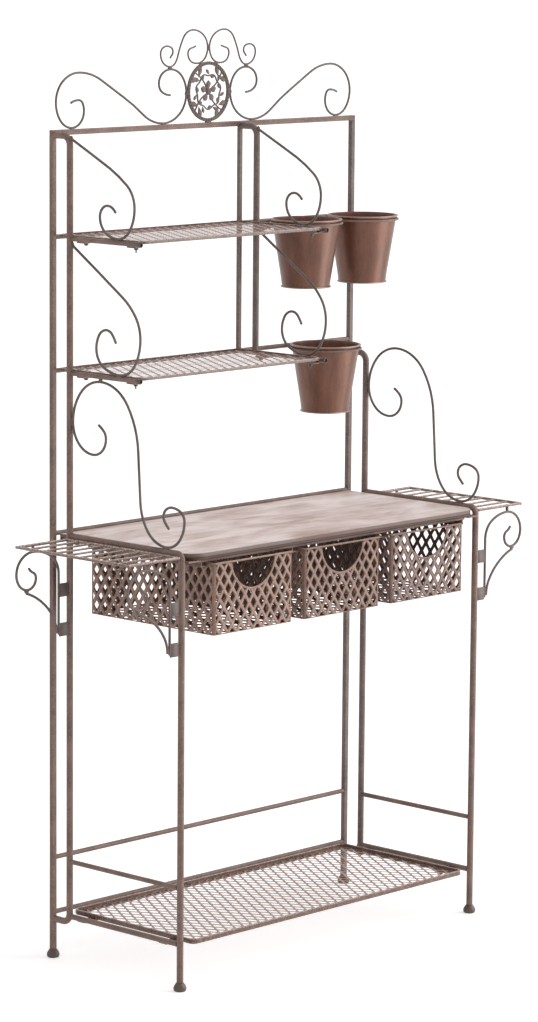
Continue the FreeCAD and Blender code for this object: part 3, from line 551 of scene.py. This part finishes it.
for way in np.exp(1j*(turns(sprays) + np.pi/sprays)):
    degrees = math.degrees(np.angle(way))
    curl = bent_wire([(flower_z + spray_root*way, degrees + spray_turns[0]),
                      (flower_z + inner_radius*way, degrees + spray_turns[1])])
    shells.append(swept(in_plane(curl, rail_plane, along), stem, forward))
    root = flower_z + (inner_radius - leaf_back)*way
    shells += [leaf(root, root + leaf_length*way*np.exp(1j*math.radians(lean)), leaf_width)
               for lean in leaf_leans]
turn = turns(18*vine_waves)
vine = flower_z + (vine_radius + vine_wave*np.sin(vine_waves*turn))*np.exp(1j*turn)
shells.append(swept(in_plane(vine, rail_plane, along), stem, forward, closed=True))
for k in range(2*vine_waves):
    way = np.exp(1j*np.pi*(k + vine_phase_share)/vine_waves)
    lean, length = vine_leaves[k % 2]
    root = flower_z + vine_radius*way
    shells.append(leaf(root, root + way*np.exp(1j*math.radians(lean))*length, vine_leaf_width, 9, 8))
piece("medallion_flower", shells, wire_iron, ["medallion_ornament"])

# Shelf scrolls: one bent wire on each shelf arm, from the upright forward and down to a curl
# that lies on the arm, welded at both.
upper_reach, lower_reach = 171*mm, 188*mm
lower_top_gap = 20*mm
weld_toe = 1.2*mm
start_angle, start_heading = math.radians(30), -27
upper_shares = [(0.61, 0.70, -28), (1, 0.317, 270), (0.725, 0, 180), (0.445, 0.211, 90),
                (0.57, 0.327, 0), (0.70, 0.26, -55)]
lower_shares = [(0, 1, -33), (0.745, 0.62, -34), (1, 0.30, 270), (0.70, 0, 180),
                (0.355, 0.195, 90), (0.505, 0.35, 0), (0.645, 0.25, -65)]
upper_touch_share, lower_touch_share = 0.725, 0.70
low, high = ends("upright_left")
upright_depth = rail_y - low[1] - tube_radius
upright_top = high[2] - tube_radius
upper_level, lower_level = middle("upper_shelf_rail")[2], middle("lower_shelf_rail")[2]
upper_base, lower_base = upper_level + rail_radius + wire_seat, lower_level + rail_radius + wire_seat
start_depth = upright_depth + tube_radius + weld_toe
bend_centre = upright_depth - bend_radius + 1j*(upright_top - bend_radius)
upper_start = bend_centre + (bend_radius + tube_radius + weld_toe)*np.exp(1j*start_angle)
upper_stops = stops_from(upper_shares, upper_reach, upright_top - upper_base, start_depth + 1j*upper_base)
upper_wire = bent_wire([(upper_start, start_heading)] + upper_stops)
lower_wire = bent_wire(stops_from(lower_shares, lower_reach, upper_level - lower_top_gap - lower_level,
                                  start_depth + 1j*lower_base))
shelf_x = (leg_x[0], middle("middle_post")[0])
rail_bead, post_bead = bead[[1, 0, 2]], bead[[1, 2, 0]]
for word, x in zip(("left", "right"), shelf_x):
    for name, route, reach, base in (("upper", upper_wire, upper_touch_share*upper_reach, upper_base),
                                     ("lower", lower_wire, lower_touch_share*lower_reach, lower_base)):
        shells = [swept(in_plane(route, (x, rail_y, 0), forward), wire, along, wire_lip),
                  weld((x, rail_y - start_depth - reach, base - wire_seat), rail_bead),
                  weld((x, rail_y - route[0].real, route[0].imag), post_bead)]
        piece("%s_wire_%s" % (name, word), shells, wire_iron, ["%s_scroll_%s" % (name, word)])

# Side scrolls: a tall bent wire over each table rail, welded to the rail and the upright; a short
# stub ties the left one to the shelf arm above it.
side_shares = [(0.232, 0.722, -30), (0.30, 0.637, 270), (0.186, 0.524, 180), (0, 0.72, 90),
               (0.25, 1, 0), (0.59, 0.58, -87), (0.61, 0.265, -87), (0.842, 0, 0), (1, 0.18, 90),
               (0.89, 0.26, 180), (0.816, 0.195, 270), (0.865, 0.118, -50)]
table_touch_share, post_touch_share, stub_share = 0.842, 0.72, 0.25
stub_length, stub_size, stub_corner = 3*mm, 6*mm, 1*mm
overhang = 4*mm
post_bead_growth = 1.25
table_level = ends("front_leg_left")[1][2] - tube_radius
side_base = upright_depth + tube_radius + wire_seat + 1j*(table_level + tube_radius + wire_seat)
side_reach = rail_y - leg_y[0] + overhang - upright_depth - tube_radius
stub_top = lower_level - rail_radius
side_rise = stub_top - stub_length - wire_seat - side_base.imag
side_wire = bent_wire(stops_from(side_shares, side_reach, side_rise, side_base))
side_y = rail_y - side_base.real
stub_y = side_y - stub_share*side_reach
stub = swept([(leg_x[0], stub_y, stub_top - stub_length - wire_radius), (leg_x[0], stub_y, stub_top)],
             bar_section(stub_size, stub_size, stub_corner), forward)
for word, x in zip(("left", "right"), leg_x):
    shells = [swept(in_plane(side_wire, (x, rail_y, 0), forward), wire, along, wire_lip),
              weld((x, side_y - table_touch_share*side_reach, side_base.imag - wire_seat), rail_bead),
              weld((x, side_y + wire_seat, side_base.imag + post_touch_share*side_rise),
                   post_bead_growth*post_bead)]
    if word == "left":
        shells.append(stub)
    piece("side_wire_" + word, shells, wire_iron, ["side_scroll_" + word])


# Shelves: a rim of folded channel with a sheet of expanded steel mesh in it. The trays rest
# on lugs welded under the arms and the low rails, each held by a bolt from below.
def net(width, height, cell, hole_share, margin, crown, cut=None):
    """A pierced sheet on a rectangle: staggered diamonds, each a ring of 8 quads between its
    outline, along the middle of the strands, and its hole. The outline stands up by the crown.
    Diamonds on the edge are cut by it. A cut, a circle's middle and radius, drops the diamonds
    inside it and pushes the points of those on its edge out to it."""
    columns, rows = round(width/cell[0]), round(height/cell[1])
    half = np.array([width/columns, height/rows])/2
    i, j = np.meshgrid(np.arange(2*columns + 1), np.arange(2*rows + 1), indexing="ij")
    centres = np.stack([i, j], -1)[(i + j) % 2 == 0]*half
    corners = [(1, 0), (0.5, 0.5), (0, 1), (-0.5, 0.5), (-1, 0), (-0.5, -0.5), (0, -1), (0.5, -0.5)]
    round_cell = half*np.array(corners)
    tip_shares = np.tile([0.94, 1], 4)[:, None]
    size = np.array([width, height])
    outline = np.clip(centres[:, None] + round_cell, 0, size)
    hole = np.clip(centres[:, None] + round_cell*hole_share*tip_shares, margin, size - margin)
    flat = np.concatenate([outline, hole], 1)
    if cut:
        away = flat - cut[0]
        far = np.linalg.norm(away, axis=-1, keepdims=True)
        flat = np.where(far < cut[1], cut[0] + away*(cut[1]/far), flat)[(far > cut[1]).any((1, 2))]
    lift = np.repeat([crown, 0], 8)
    points = np.concatenate([flat, np.broadcast_to(lift[:, None], (len(flat), 16, 1))], -1)
    k = np.arange(8)
    ring = np.stack([k, (k + 1) % 8, 8 + (k + 1) % 8, 8 + k], 1)
    quads = (16*np.arange(len(flat))[:, None, None] + ring).reshape(-1, 4)
    return points.reshape(-1, 3), [quads], np.tile(np.repeat([1.0, 0.0], 8), len(flat))


def sheet_metal(made, thickness, join=0.05*mm, sliver=0.4*mm*mm):
    """Joins the diamonds of a net along their strands, drops slivers and gives the sheet its thickness."""
    shape = bmesh.new()
    shape.from_mesh(made.data)
    bmesh.ops.remove_doubles(shape, verts=shape.verts, dist=join)
    slivers = [face for face in shape.faces if face.calc_area() < sliver]
    bmesh.ops.delete(shape, geom=slivers, context="FACES")
    shape.to_mesh(made.data)
    shape.free()
    wall = made.modifiers.new("sheet", "SOLIDIFY")
    wall.thickness = thickness
    wall.offset = 0


def level(loop, z):
    """A loop of complex places as points at one height."""
    return in_plane(loop, (0, 0, z), along, -forward)


def channel_section(wall, top, flange, height, soft=0.6*mm, fold=1.4*mm, line=2.4*mm):
    """Points round a channel from its outer lower corner: a wall of the height, a top fold and a
    lower flange, both inward. The top fold and a line under it take the rubbed coat: wear and a painted
    highlight."""
    return np.array([(0, soft, 0.1), (0, height - line, 0.1), (0, height - soft, 1), (-soft, height, 1),
                     (soft - top, height, 1), (-top, height - soft, 0.6), (-top, height - fold, 0),
                     (-wall, height - fold, 0), (-wall, wall, 0), (soft - flange, wall, 0),
                     (-flange, wall - soft, 0.3), (-flange, soft, 0.3), (soft - flange, 0, 0),
                     (-soft, 0, 0.3)])


def hex_bolt(x, y, z, head, tail, washer=1*mm, soft=0.6*mm):
    """A bolt from below: a six-sided head under a washer, and a bare tail that hangs below it."""
    profile = [(0.30*head, z - tail), (0.34*head, z - tail + 0.8*mm), (0.34*head, z - head),
               (0.86*head, z - head), (head, z - head + soft), (head, z - washer), (1.25*head, z - washer),
               (1.25*head, z), (head, z + 0.4*mm)]
    return lathe(x, y, profile, 6)


mesh_cell, mesh_hole, mesh_sheet, mesh_margin = (22.7*mm, 35.7*mm), 0.79, 0.6*mm, 2*mm
tray_wall, tray_fold, tray_flange, tray_corner = 2.5*mm, 4*mm, 13*mm, 14*mm
mesh_iron = antique_paint("antique_brown_mesh", "#8f7168", "#ad8f86", "#d6bbb0")
# On the rims the pale rubbed coat along the top fold is partly wear and partly a painted highlight, where the
# flat fold catches the light.
rim_iron_worn_and_highlit = antique_paint("satin_brown_rim_worn_and_highlit", "#624d45", "#80665c", "#bda499", roughness=(0.2, 0.34))
for name in ("upper_shelf", "lower_shelf", "bottom_shelf"):
    low, high = ends(name + "_rim")
    loop = level(rounded(low, high, [tray_corner]*4), low[2])
    section = channel_section(tray_wall, tray_fold, tray_flange, (high - low)[2])
    piece(name + "_channel", [swept(loop, section, up, closed=True)], rim_iron_worn_and_highlit, [name + "_rim"])
    low, high = ends(name + "_mesh")
    mesh = net(*(high - low)[:2], mesh_cell, mesh_hole, mesh_margin, 0)
    made = piece(name + "_net", [laid(mesh, (low[0], low[1], (low + high)[2]/2), along, -forward)], mesh_iron,
                 [name + "_mesh"], sharp=math.pi)
    sheet_metal(made, mesh_sheet)
lug_thickness, lug_width, lug_lap, lug_corner = 3*mm, 22*mm, 14*mm, 0.8*mm
packing_inset, packing_lap = 2*mm, 1*mm
shelf_insets, bottom_insets = (71*mm, 24*mm), (55*mm, 55*mm)
bolt_head, bolt_tails = 4.5*mm, (5.5*mm, 10*mm)
lug_section = bar_section(lug_width, lug_thickness, lug_corner)
floor_level = ends("low_side_rails_left")[0][2] + rail_radius
lugs, bolts = [], []
for name, carriers, carrier_level, insets in (("upper_shelf", shelf_x, upper_level, shelf_insets),
                                              ("lower_shelf", shelf_x, lower_level, shelf_insets),
                                              ("bottom_shelf", leg_x, floor_level, bottom_insets)):
    low, high = ends(name + "_rim")
    rest = carrier_level - rail_radius
    lug_z, packing_z = rest - lug_thickness/2, (rest + low[2])/2
    packing = bar_section(lug_width - 2*packing_inset, low[2] - rest + 2*packing_lap, lug_corner)
    for carrier, edge, side in ((carriers[0], low[0], 1), (carriers[1], high[0], -1)):
        inner, outer = edge + side*lug_lap, edge + side*tray_wall
        for y, tail in zip((high[1] - insets[0], low[1] + insets[1]), bolt_tails):
            lugs.append(swept([(carrier, y, lug_z), (inner, y, lug_z)], lug_section, up))
            lugs.append(swept([(outer, y, packing_z), (inner, y, packing_z)], packing, up))
            bolt_x = edge + side*(tray_wall + lug_lap)/2
            bolts.append(hex_bolt(bolt_x, y, rest - lug_thickness, bolt_head, tail))
piece("shelf_lug_plates", lugs, iron, ["shelf_lugs"])
bolt_steel = antique_paint("dark_bolt_steel", "#3c332f", "#554843", "#7d6c63", fleck=2*mm,
                           roughness=(0.3, 0.5))
piece("shelf_hex_bolts", bolts, bolt_steel, [])


# Table: a pale washed board with round front corners and brown edges. It rests on lugs between
# the side rails, over two square bars that carry the basket runners.
def washed_wood(name, pale, streak, edge, grain=11*mm, patch=65*mm):
    """A pale washed top: soft clouds, a faint grain drawn out along the board, and brown where
    wear_and_highlight is 1, on its edges and underside.
    """
    # A thin wash looks pale and patchy. The grain is about a millimetre, too fine to show, so it is
    # drawn coarser.
    wood = bpy.data.materials.new(name)
    tree = bare_tree(wood)
    place = add(tree, "TexCoord").outputs["Object"]
    drawn = add(tree, "Mapping", {"Vector": place, "Scale": (0.06, 1, 1)})
    fine = add(tree, "TexNoise", {"Vector": drawn, "Scale": 1/grain, "Detail": 6.0, "Roughness": 0.65,
                                  "Distortion": 0.6})
    wide = add(tree, "Mapping", {"Vector": place, "Scale": (0.45, 1, 1)})
    cloud = add(tree, "TexNoise", {"Vector": wide, "Scale": 1/patch, "Detail": 4.0, "Roughness": 0.55,
                                   "Distortion": 0.4})
    faint = add(tree, "Math", {0: fine, 1: 0.3}, operation="MULTIPLY")
    mixed = add(tree, "Math", {0: cloud, 1: 0.7, 2: faint}, operation="MULTIPLY_ADD")
    share = add(tree, "MapRange", {"Value": mixed, "From Min": 0.36, "From Max": 0.58})
    top = add(tree, "Mix", {"Factor": share, "A": linear(streak), "B": linear(pale)}, data_type="RGBA")
    wear_and_highlight = add(tree, "Attribute", attribute_name="wear_and_highlight").outputs["Fac"]
    side = add(tree, "Mix", {"Factor": fine, "A": linear(edge[0]), "B": linear(edge[1])}, data_type="RGBA")
    colour = add(tree, "Mix", {"Factor": wear_and_highlight, "A": top, "B": side}, data_type="RGBA")
    gloss = add(tree, "MapRange", {"Value": fine, "To Min": 0.42, "To Max": 0.62})
    bump = add(tree, "Bump", {"Height": fine, "Strength": 0.2, "Distance": 0.3*mm})
    shader = add(tree, "BsdfPrincipled", {"Base Color": colour, "Roughness": gloss, "Normal": bump})
    add(tree, "OutputMaterial", {"Surface": shader})
    return wood


low, high = ends("table_board")
front_radius, rear_radius, corner_steps = 42*mm, 4*mm, 15
edge_rings = [(2*mm, 0, 1), (0.6*mm, 0.06, 1), (0, 0.18, 1), (0, 0.40, 1), (0.8*mm, 0.43, 1),
              (0.8*mm, 0.47, 1), (0, 0.50, 0.88), (0, 0.90, 0.85), (0.3*mm, 0.97, 0.75), (1*mm, 1, 0.3),
              (5*mm, 1, 0)]
corner_radii = (rear_radius, rear_radius, front_radius, front_radius)
rings = [level(rounded(low, high, corner_radii, inset, corner_steps)[::-1], low[2] + rise*(high - low)[2])
         for inset, rise, _ in edge_rings]
sides = len(rings[0])
board = (np.concatenate(rings), ring_faces(len(rings), sides, False),
         np.repeat([worn for _, _, worn in edge_rings], sides))
board_wood = washed_wood("pale_washed_board", "#f5e5e1", "#c0a399", ("#3d251b", "#59392b"))
piece("table_top", [board], board_wood, ["table_board"], sharp=math.radians(50))
low, high = ends("table_bars")
bar_size, square_corner = high[2] - low[2], 1*mm
bar_profile = bar_section(bar_size, bar_size, square_corner)
table_bars = edge_bars("table_bars", 0, 1, bar_size, (bar_profile, bar_profile))
piece("table_square_bars", table_bars, iron, ["table_bars"])
low, high = ends("table_lugs")
table_lug_length, table_lug_width = 30*mm, 24*mm
plate = bar_section(table_lug_width, high[2] - low[2], lug_corner)
z = (low + high)[2]/2
shells = [swept([(x, y, z), (x - side*table_lug_length, y, z)], plate, up)
          for x, side in ((low[0], -1), (high[0], 1))
          for y in (low[1] + table_lug_width/2, high[1] - table_lug_width/2)]
piece("table_lug_plates", shells, iron, ["table_lugs"])

# Basket runners: bent strip under the table's bars, a tee between two baskets and an angle outside
# the last, on which the baskets' rims slide.
runner_web, runner_ledge, runner_corner = 3*mm, 3*mm, 0.6*mm
rim_width, ledge_gap = 6*mm, 1.5*mm
basket_words = ("left", "middle", "right")
basket_boxes = [ends("basket_" + word) for word in basket_words]
basket_middles = np.array([middle("basket_" + word)[0] for word in basket_words])
pitch = basket_middles[1] - basket_middles[0]
basket_half = (basket_boxes[0][1] - basket_boxes[0][0])[0]/2 - rim_width
ledge_reach = pitch/2 - basket_half - ledge_gap
runner_x = np.append(basket_middles - pitch/2, basket_middles[-1] + pitch/2)
low, high = ends("basket_runners")
ledge_top = low[2] + runner_ledge
web_section = bar_section(runner_web, high[2] - ledge_top, runner_corner)
shells = []
for k, x in enumerate(runner_x):
    inner = x - runner_web/2 if k == 0 else x - ledge_reach
    outer = x + runner_web/2 if k == len(runner_x) - 1 else x + ledge_reach
    web = np.array([[x - runner_web/2, low[1], ledge_top], [x + runner_web/2, high[1], high[2]]])
    ledge = np.array([[inner, low[1], low[2]], [outer, high[1], ledge_top]])
    shells.append(boxed_bar(*web, 1, web_section))
    shells.append(boxed_bar(*ledge, 1, bar_section(outer - inner, runner_ledge, runner_corner)))
piece("runner_strips", shells, iron, ["basket_runners"])

# Baskets: sheet steel pierced with upright diamonds, bent round at plain corners, with a pierced
# floor, a folded rim that rides on the runners and a half-moon grip edged with a band.
basket_cell, basket_hole, basket_margin = (23.2*mm, 35*mm), 0.66, 1.6*mm
floor_cell, floor_hole, floor_margin = (35*mm, 54*mm), 0.72, 2*mm
basket_sheet, basket_crown, basket_corner = 1.2*mm, 0.7*mm, 4*mm
fold_width, fold_height = 3.2*mm, 3.6*mm
fold_section, band_section = bar_section(fold_width, fold_height, 1*mm), bar_section(4.5*mm, 2.6*mm, 0.9*mm)
rim_height, skin = 5*mm, basket_sheet/2
grip_half, grip_drop, grip_steps = 62*mm, 56*mm, 41
grip_radius = (grip_half**2 + grip_drop**2)/(2*grip_drop)
grip_sweep = math.atan2(grip_half, grip_radius - grip_drop)
grip_arc = -1j*grip_radius*np.exp(1j*np.linspace(-grip_sweep, grip_sweep, grip_steps))
# The baskets share one paint in three tones, darker and greyer from left to right: painted shade on the
# middle and right baskets, where the lamps from the right fall more strongly.
basket_tones_painted_shade = (("#806256", "#9c7a6a", "#bc9e8f"), ("#74594e", "#8f7062", "#af9184"),
                ("#6d544c", "#85695e", "#a2897f"))
# The inner faces of the basket sheets take a dark brown: painted shade for the inside of the baskets under
# the table.
basket_inside_painted_shade = antique_paint("painted_shade_basket_inside", "#432e26", "#573f34", "#6f5446")
for word, (low, high), tones in zip(basket_words, basket_boxes, basket_tones_painted_shade):
    basket_iron = antique_paint("antique_brown_basket_" + word, *tones)
    low, high = low + (rim_width, rim_width, 0), high - (rim_width, rim_width, 0)
    width, depth, height = high - low - (2*basket_corner, 2*basket_corner, 0)
    grip_centre = np.array([width/2, height - rim_height - grip_drop + grip_radius])
    walls = ((width, (low[0] + basket_corner, low[1] + skin), along, (grip_centre, grip_radius)),
             (width, (high[0] - basket_corner, high[1] - skin), -along, None),
             (depth, (low[0] + skin, high[1] - basket_corner), forward, None),
             (depth, (high[0] - skin, low[1] + basket_corner), -forward, None))
    shells = [laid(net(length, height, basket_cell, basket_hole, basket_margin, basket_crown, cut),
                   (*corner, low[2]), across, up) for length, corner, across, cut in walls]
    levels = np.linspace(low[2], high[2], 1 + 4*round(height/basket_cell[1]))
    for strip in rounded(low, high, [basket_corner]*4, skin).reshape(4, -1):
        grid = np.stack(np.broadcast_arrays(strip.real[:, None], strip.imag[:, None], levels), -1)
        index = np.arange(grid[..., 0].size).reshape(grid.shape[:2])
        quads = np.stack([index[:-1, :-1], index[1:, :-1], index[1:, 1:], index[:-1, 1:]], -1)
        shells.append((grid.reshape(-1, 3), [quads.reshape(-1, 4)], np.zeros(index.size)))
    floor_net = net(*(high - low - 2*basket_sheet)[:2], floor_cell, floor_hole, floor_margin, 0)
    floor_origin = (high[0] - basket_sheet, low[1] + basket_sheet, low[2] + skin)
    shells.append(laid(floor_net, floor_origin, -along, -forward))
    body = "basket_" + word
    made = piece(body + "_sheet", shells, basket_iron, [body], body, math.pi)
    # The sheets' inner faces get the painted shade.
    made.data.materials.append(basket_inside_painted_shade)
    sheet_metal(made, basket_sheet)
    made.modifiers["sheet"].material_offset = 1
    fold = rounded(low - fold_width/2, high + fold_width/2, [basket_corner + fold_width/2]*4)
    grip = in_plane(complex(*grip_centre) + grip_arc, (low[0] + basket_corner, low[1] + skin, low[2]), along)
    shells = [swept(level(fold, high[2] - fold_height/2), fold_section, up, closed=True),
              swept(grip, band_section, forward)]
    piece(body + "_rim", shells, basket_iron, [], body)


# Pots: tapered tin pots with a rolled lip and a foot bead, in satin rust brown. Each hangs in a
# ring of round rod welded to a back rail.
def mottled_tin(name, dark, main, pale, mottle=22*mm, speck=3*mm):
    """Rust brown paint on tin: soft mottling, upright wipe marks and fine specks, paler where worn."""
    # Metallic paint looks warm, with a soft upright shine. Its specks are too fine to show, so they
    # are drawn coarser.
    tin = bpy.data.materials.new(name)
    tree = bare_tree(tin)
    place = add(tree, "TexCoord").outputs["Object"]
    wiped = add(tree, "Mapping", {"Vector": place, "Scale": (1, 1, 0.25)})
    cloud = add(tree, "TexNoise", {"Vector": wiped, "Scale": 1/mottle, "Detail": 5.0, "Roughness": 0.6})
    specks = add(tree, "TexNoise", {"Vector": place, "Scale": 1/speck, "Detail": 2.0})
    share = add(tree, "MapRange", {"Value": cloud, "From Min": 0.32, "From Max": 0.70})
    coat = add(tree, "Mix", {"Factor": share, "A": linear(dark), "B": linear(main)}, data_type="RGBA")
    wear_and_highlight = add(tree, "Attribute", attribute_name="wear_and_highlight").outputs["Fac"]
    dots = add(tree, "MapRange", {"Value": specks, "From Min": 0.55, "From Max": 0.75, "To Max": 0.07})
    most = add(tree, "Math", {0: wear_and_highlight, 1: dots}, operation="MAXIMUM")
    colour = add(tree, "Mix", {"Factor": most, "A": coat, "B": linear(pale)}, data_type="RGBA")
    bump = add(tree, "Bump", {"Height": specks, "Strength": 0.08, "Distance": 0.3*mm})
    shader = add(tree, "BsdfPrincipled", {"Base Color": colour, "Roughness": 0.42, "Metallic": 0.42,
                                          "Coat Weight": 0.2, "Coat Roughness": 0.24, "Normal": bump})
    add(tree, "OutputMaterial", {"Surface": shader})
    return tin


pot_tin = mottled_tin("rust_brown_tin", "#613e2f", "#7c513f", "#b89a8c")
pot_sides = 72
tin_wall = 1.2*mm
neck_radius, rim_radius, lip = 70*mm, 74*mm, 3.2*mm
foot_radius, foot_flare = 49*mm, 52*mm
rim_drop, foot_rise = 6*mm, 4*mm
ring_rod, ring_weld_sink = round_section(2.3*mm, 12), 0.5*mm
roll = np.linspace(-np.pi/2, np.pi/2, 7)
wall_shares = np.linspace(0, 1, 9)[1:]
pot_wear = 0.7*np.concatenate([[0, 0.6, 0.9, 0.4], np.zeros(len(wall_shares) + 2), np.cos(roll),
                               [0.4, 0, 0, 0]])
for word in ("upper_inner", "upper_outer", "lower"):
    body = "pot_" + word
    low, high = ends(body)
    x, y = (low + high)[:2]/2
    base, brim = low[2], high[2]
    flare = [(foot_flare - 3*mm, base), (foot_flare - 0.6*mm, base + 0.4*mm), (foot_flare, base + 1.5*mm),
             (foot_flare - 0.8*mm, base + 2.8*mm), (foot_radius + 0.6*mm, base + foot_rise)]
    wall = np.stack([foot_radius + (neck_radius - foot_radius)*wall_shares,
                     base + foot_rise + (brim - rim_drop - base - foot_rise)*wall_shares], 1)
    groove = [(neck_radius + 0.2*mm, brim - lip)]
    rolled = np.stack([rim_radius - lip/2 + lip/2*np.cos(roll), brim - lip/2 + lip/2*np.sin(roll)], 1)
    inside = [(neck_radius - tin_wall + 0.6*mm, brim), (neck_radius - tin_wall, brim - 1.2*mm),
              (neck_radius - tin_wall, brim - rim_drop), (foot_radius - tin_wall, base + foot_rise)]
    profile = np.concatenate([flare, wall, groove, rolled, inside])
    piece(body + "_tin", [lathe(x, y, profile, pot_sides, pot_wear)], pot_tin, [body], body)
    ring = "pot_ring_" + word
    low, high = ends(ring)
    z = (low + high)[2]/2
    ring_middle = ((high - low)[0] - (high - low)[2])/2
    loop = level(complex(x, y) + ring_middle*np.exp(1j*turns(pot_sides)), z)
    shells = [swept(loop, ring_rod, up, closed=True), weld((x, high[1] - ring_weld_sink, z), bead)]
    piece(ring + "_bar", shells, iron, [ring])

# Wings: a tray of round rods outside each side frame, with eight slats welded between its rails.
# Two scroll brackets of wire carry it, each with a brace and two flat tabs on the leg or upright.
slat_count = 8
rod_radius = 3.5*mm
rod, slat = round_section(3.01*mm, 14), round_section(2.2*mm, 12)
# The third column of the rod and slat sections is set by how far each point faces up, so the wing paint's
# pale rubbed colour lies along their tops: a painted highlight along the top of every rod and slat.
for section in (rod, slat):
    section[:, 2] = np.clip(section[:, 1]/section[:, 1].max(), 0, 1)
# The slats' paint has a very pale rubbed colour, which makes the painted highlight along their tops.
wing_iron_painted_highlight = antique_paint("satin_brown_slats_painted_highlight", iron_dark, iron_main, "#ead6cb", roughness=(0.2, 0.34))
bracket_reach, bracket_drop = 113*mm, 179.3*mm
bracket_gap, bracket_hang = 26*mm, 182*mm
bracket_base = post_x + tube_radius + bracket_gap + 1j*(ends("wing_tray_right")[0][2] - bracket_hang)
bracket_shares = [(0.71, 0.79, 240), (0.54, 0.67, 270), (0.735, 0.55, 0), (1, 0.73, 90),
                  (0.61, 0.963, 180), (0, 0.68, 270), (0, 0, 270)]
brace_shares = [(0.775, 0.515, 197), (0.32, 0.35, 222), (0.05, 0.02, 270)]
tray_touch_share, brace_touch_shares = 0.61, (0.76, 0.535)
tray_weld_drop = 3.5*mm
tab_shares, tab_lap, tab_section = (0.05, 0.49), 1*mm, bar_section(4*mm, 27*mm, 1*mm)
bracket_wires = [bent_wire(stops_from(shares, bracket_reach, bracket_drop, bracket_base))
                 for shares in (bracket_shares, brace_shares)]
tray_touch_x = bracket_base.real + tray_touch_share*bracket_reach
brace_touch_x = bracket_base.real + brace_touch_shares[0]*bracket_reach
brace_touch_z = bracket_base.imag + brace_touch_shares[1]*bracket_drop
tab_inner, tab_outer = post_x + tube_radius - tab_lap, bracket_base.real - wire_radius + tab_lap
tab_heights = bracket_base.imag + bracket_drop*np.array(tab_shares)
for side, word in ((-1, "left"), (1, "right")):
    low, high = ends("wing_tray_" + word)
    z = (low + high)[2]/2
    rails = (low[0] + rod_radius, high[0] - rod_radius)
    shells = [swept([(x, high[1], z), (x, low[1], z)], rod, up, wire_lip) for x in rails]
    places = np.linspace(high[1] - rod_radius, low[1] + rod_radius, slat_count + 2)
    for k, y in enumerate(places):
        section = slat if 0 < k <= slat_count else rod
        shells.append(swept([(rails[0] + rod_radius/2, y, z), (rails[1] - rod_radius/2, y, z)], section, up))
    piece("wing_slats_" + word, shells, wing_iron_painted_highlight, ["wing_tray_" + word])
    shells, tabs = [], []
    for y in (places[0], places[-1]):
        shells += [swept(in_plane(route, (0, y, 0), side*along), wire, forward, wire_lip)
                   for route in bracket_wires]
        shells.append(weld((side*tray_touch_x, y, z - rod_radius - tray_weld_drop), bead[[1, 1, 0]]))
        shells.append(weld((side*brace_touch_x, y, brace_touch_z), bead))
        tabs += [swept([(side*tab_inner, y, tab_z), (side*tab_outer, y, tab_z)], tab_section, up)
                 for tab_z in tab_heights]
    piece("wing_wires_" + word, shells, wire_iron, ["wing_brackets_" + word])
    # The tabs take the darker wire paint, as painted shade.
    piece("wing_tabs_painted_shade_" + word, tabs, wire_iron, [])
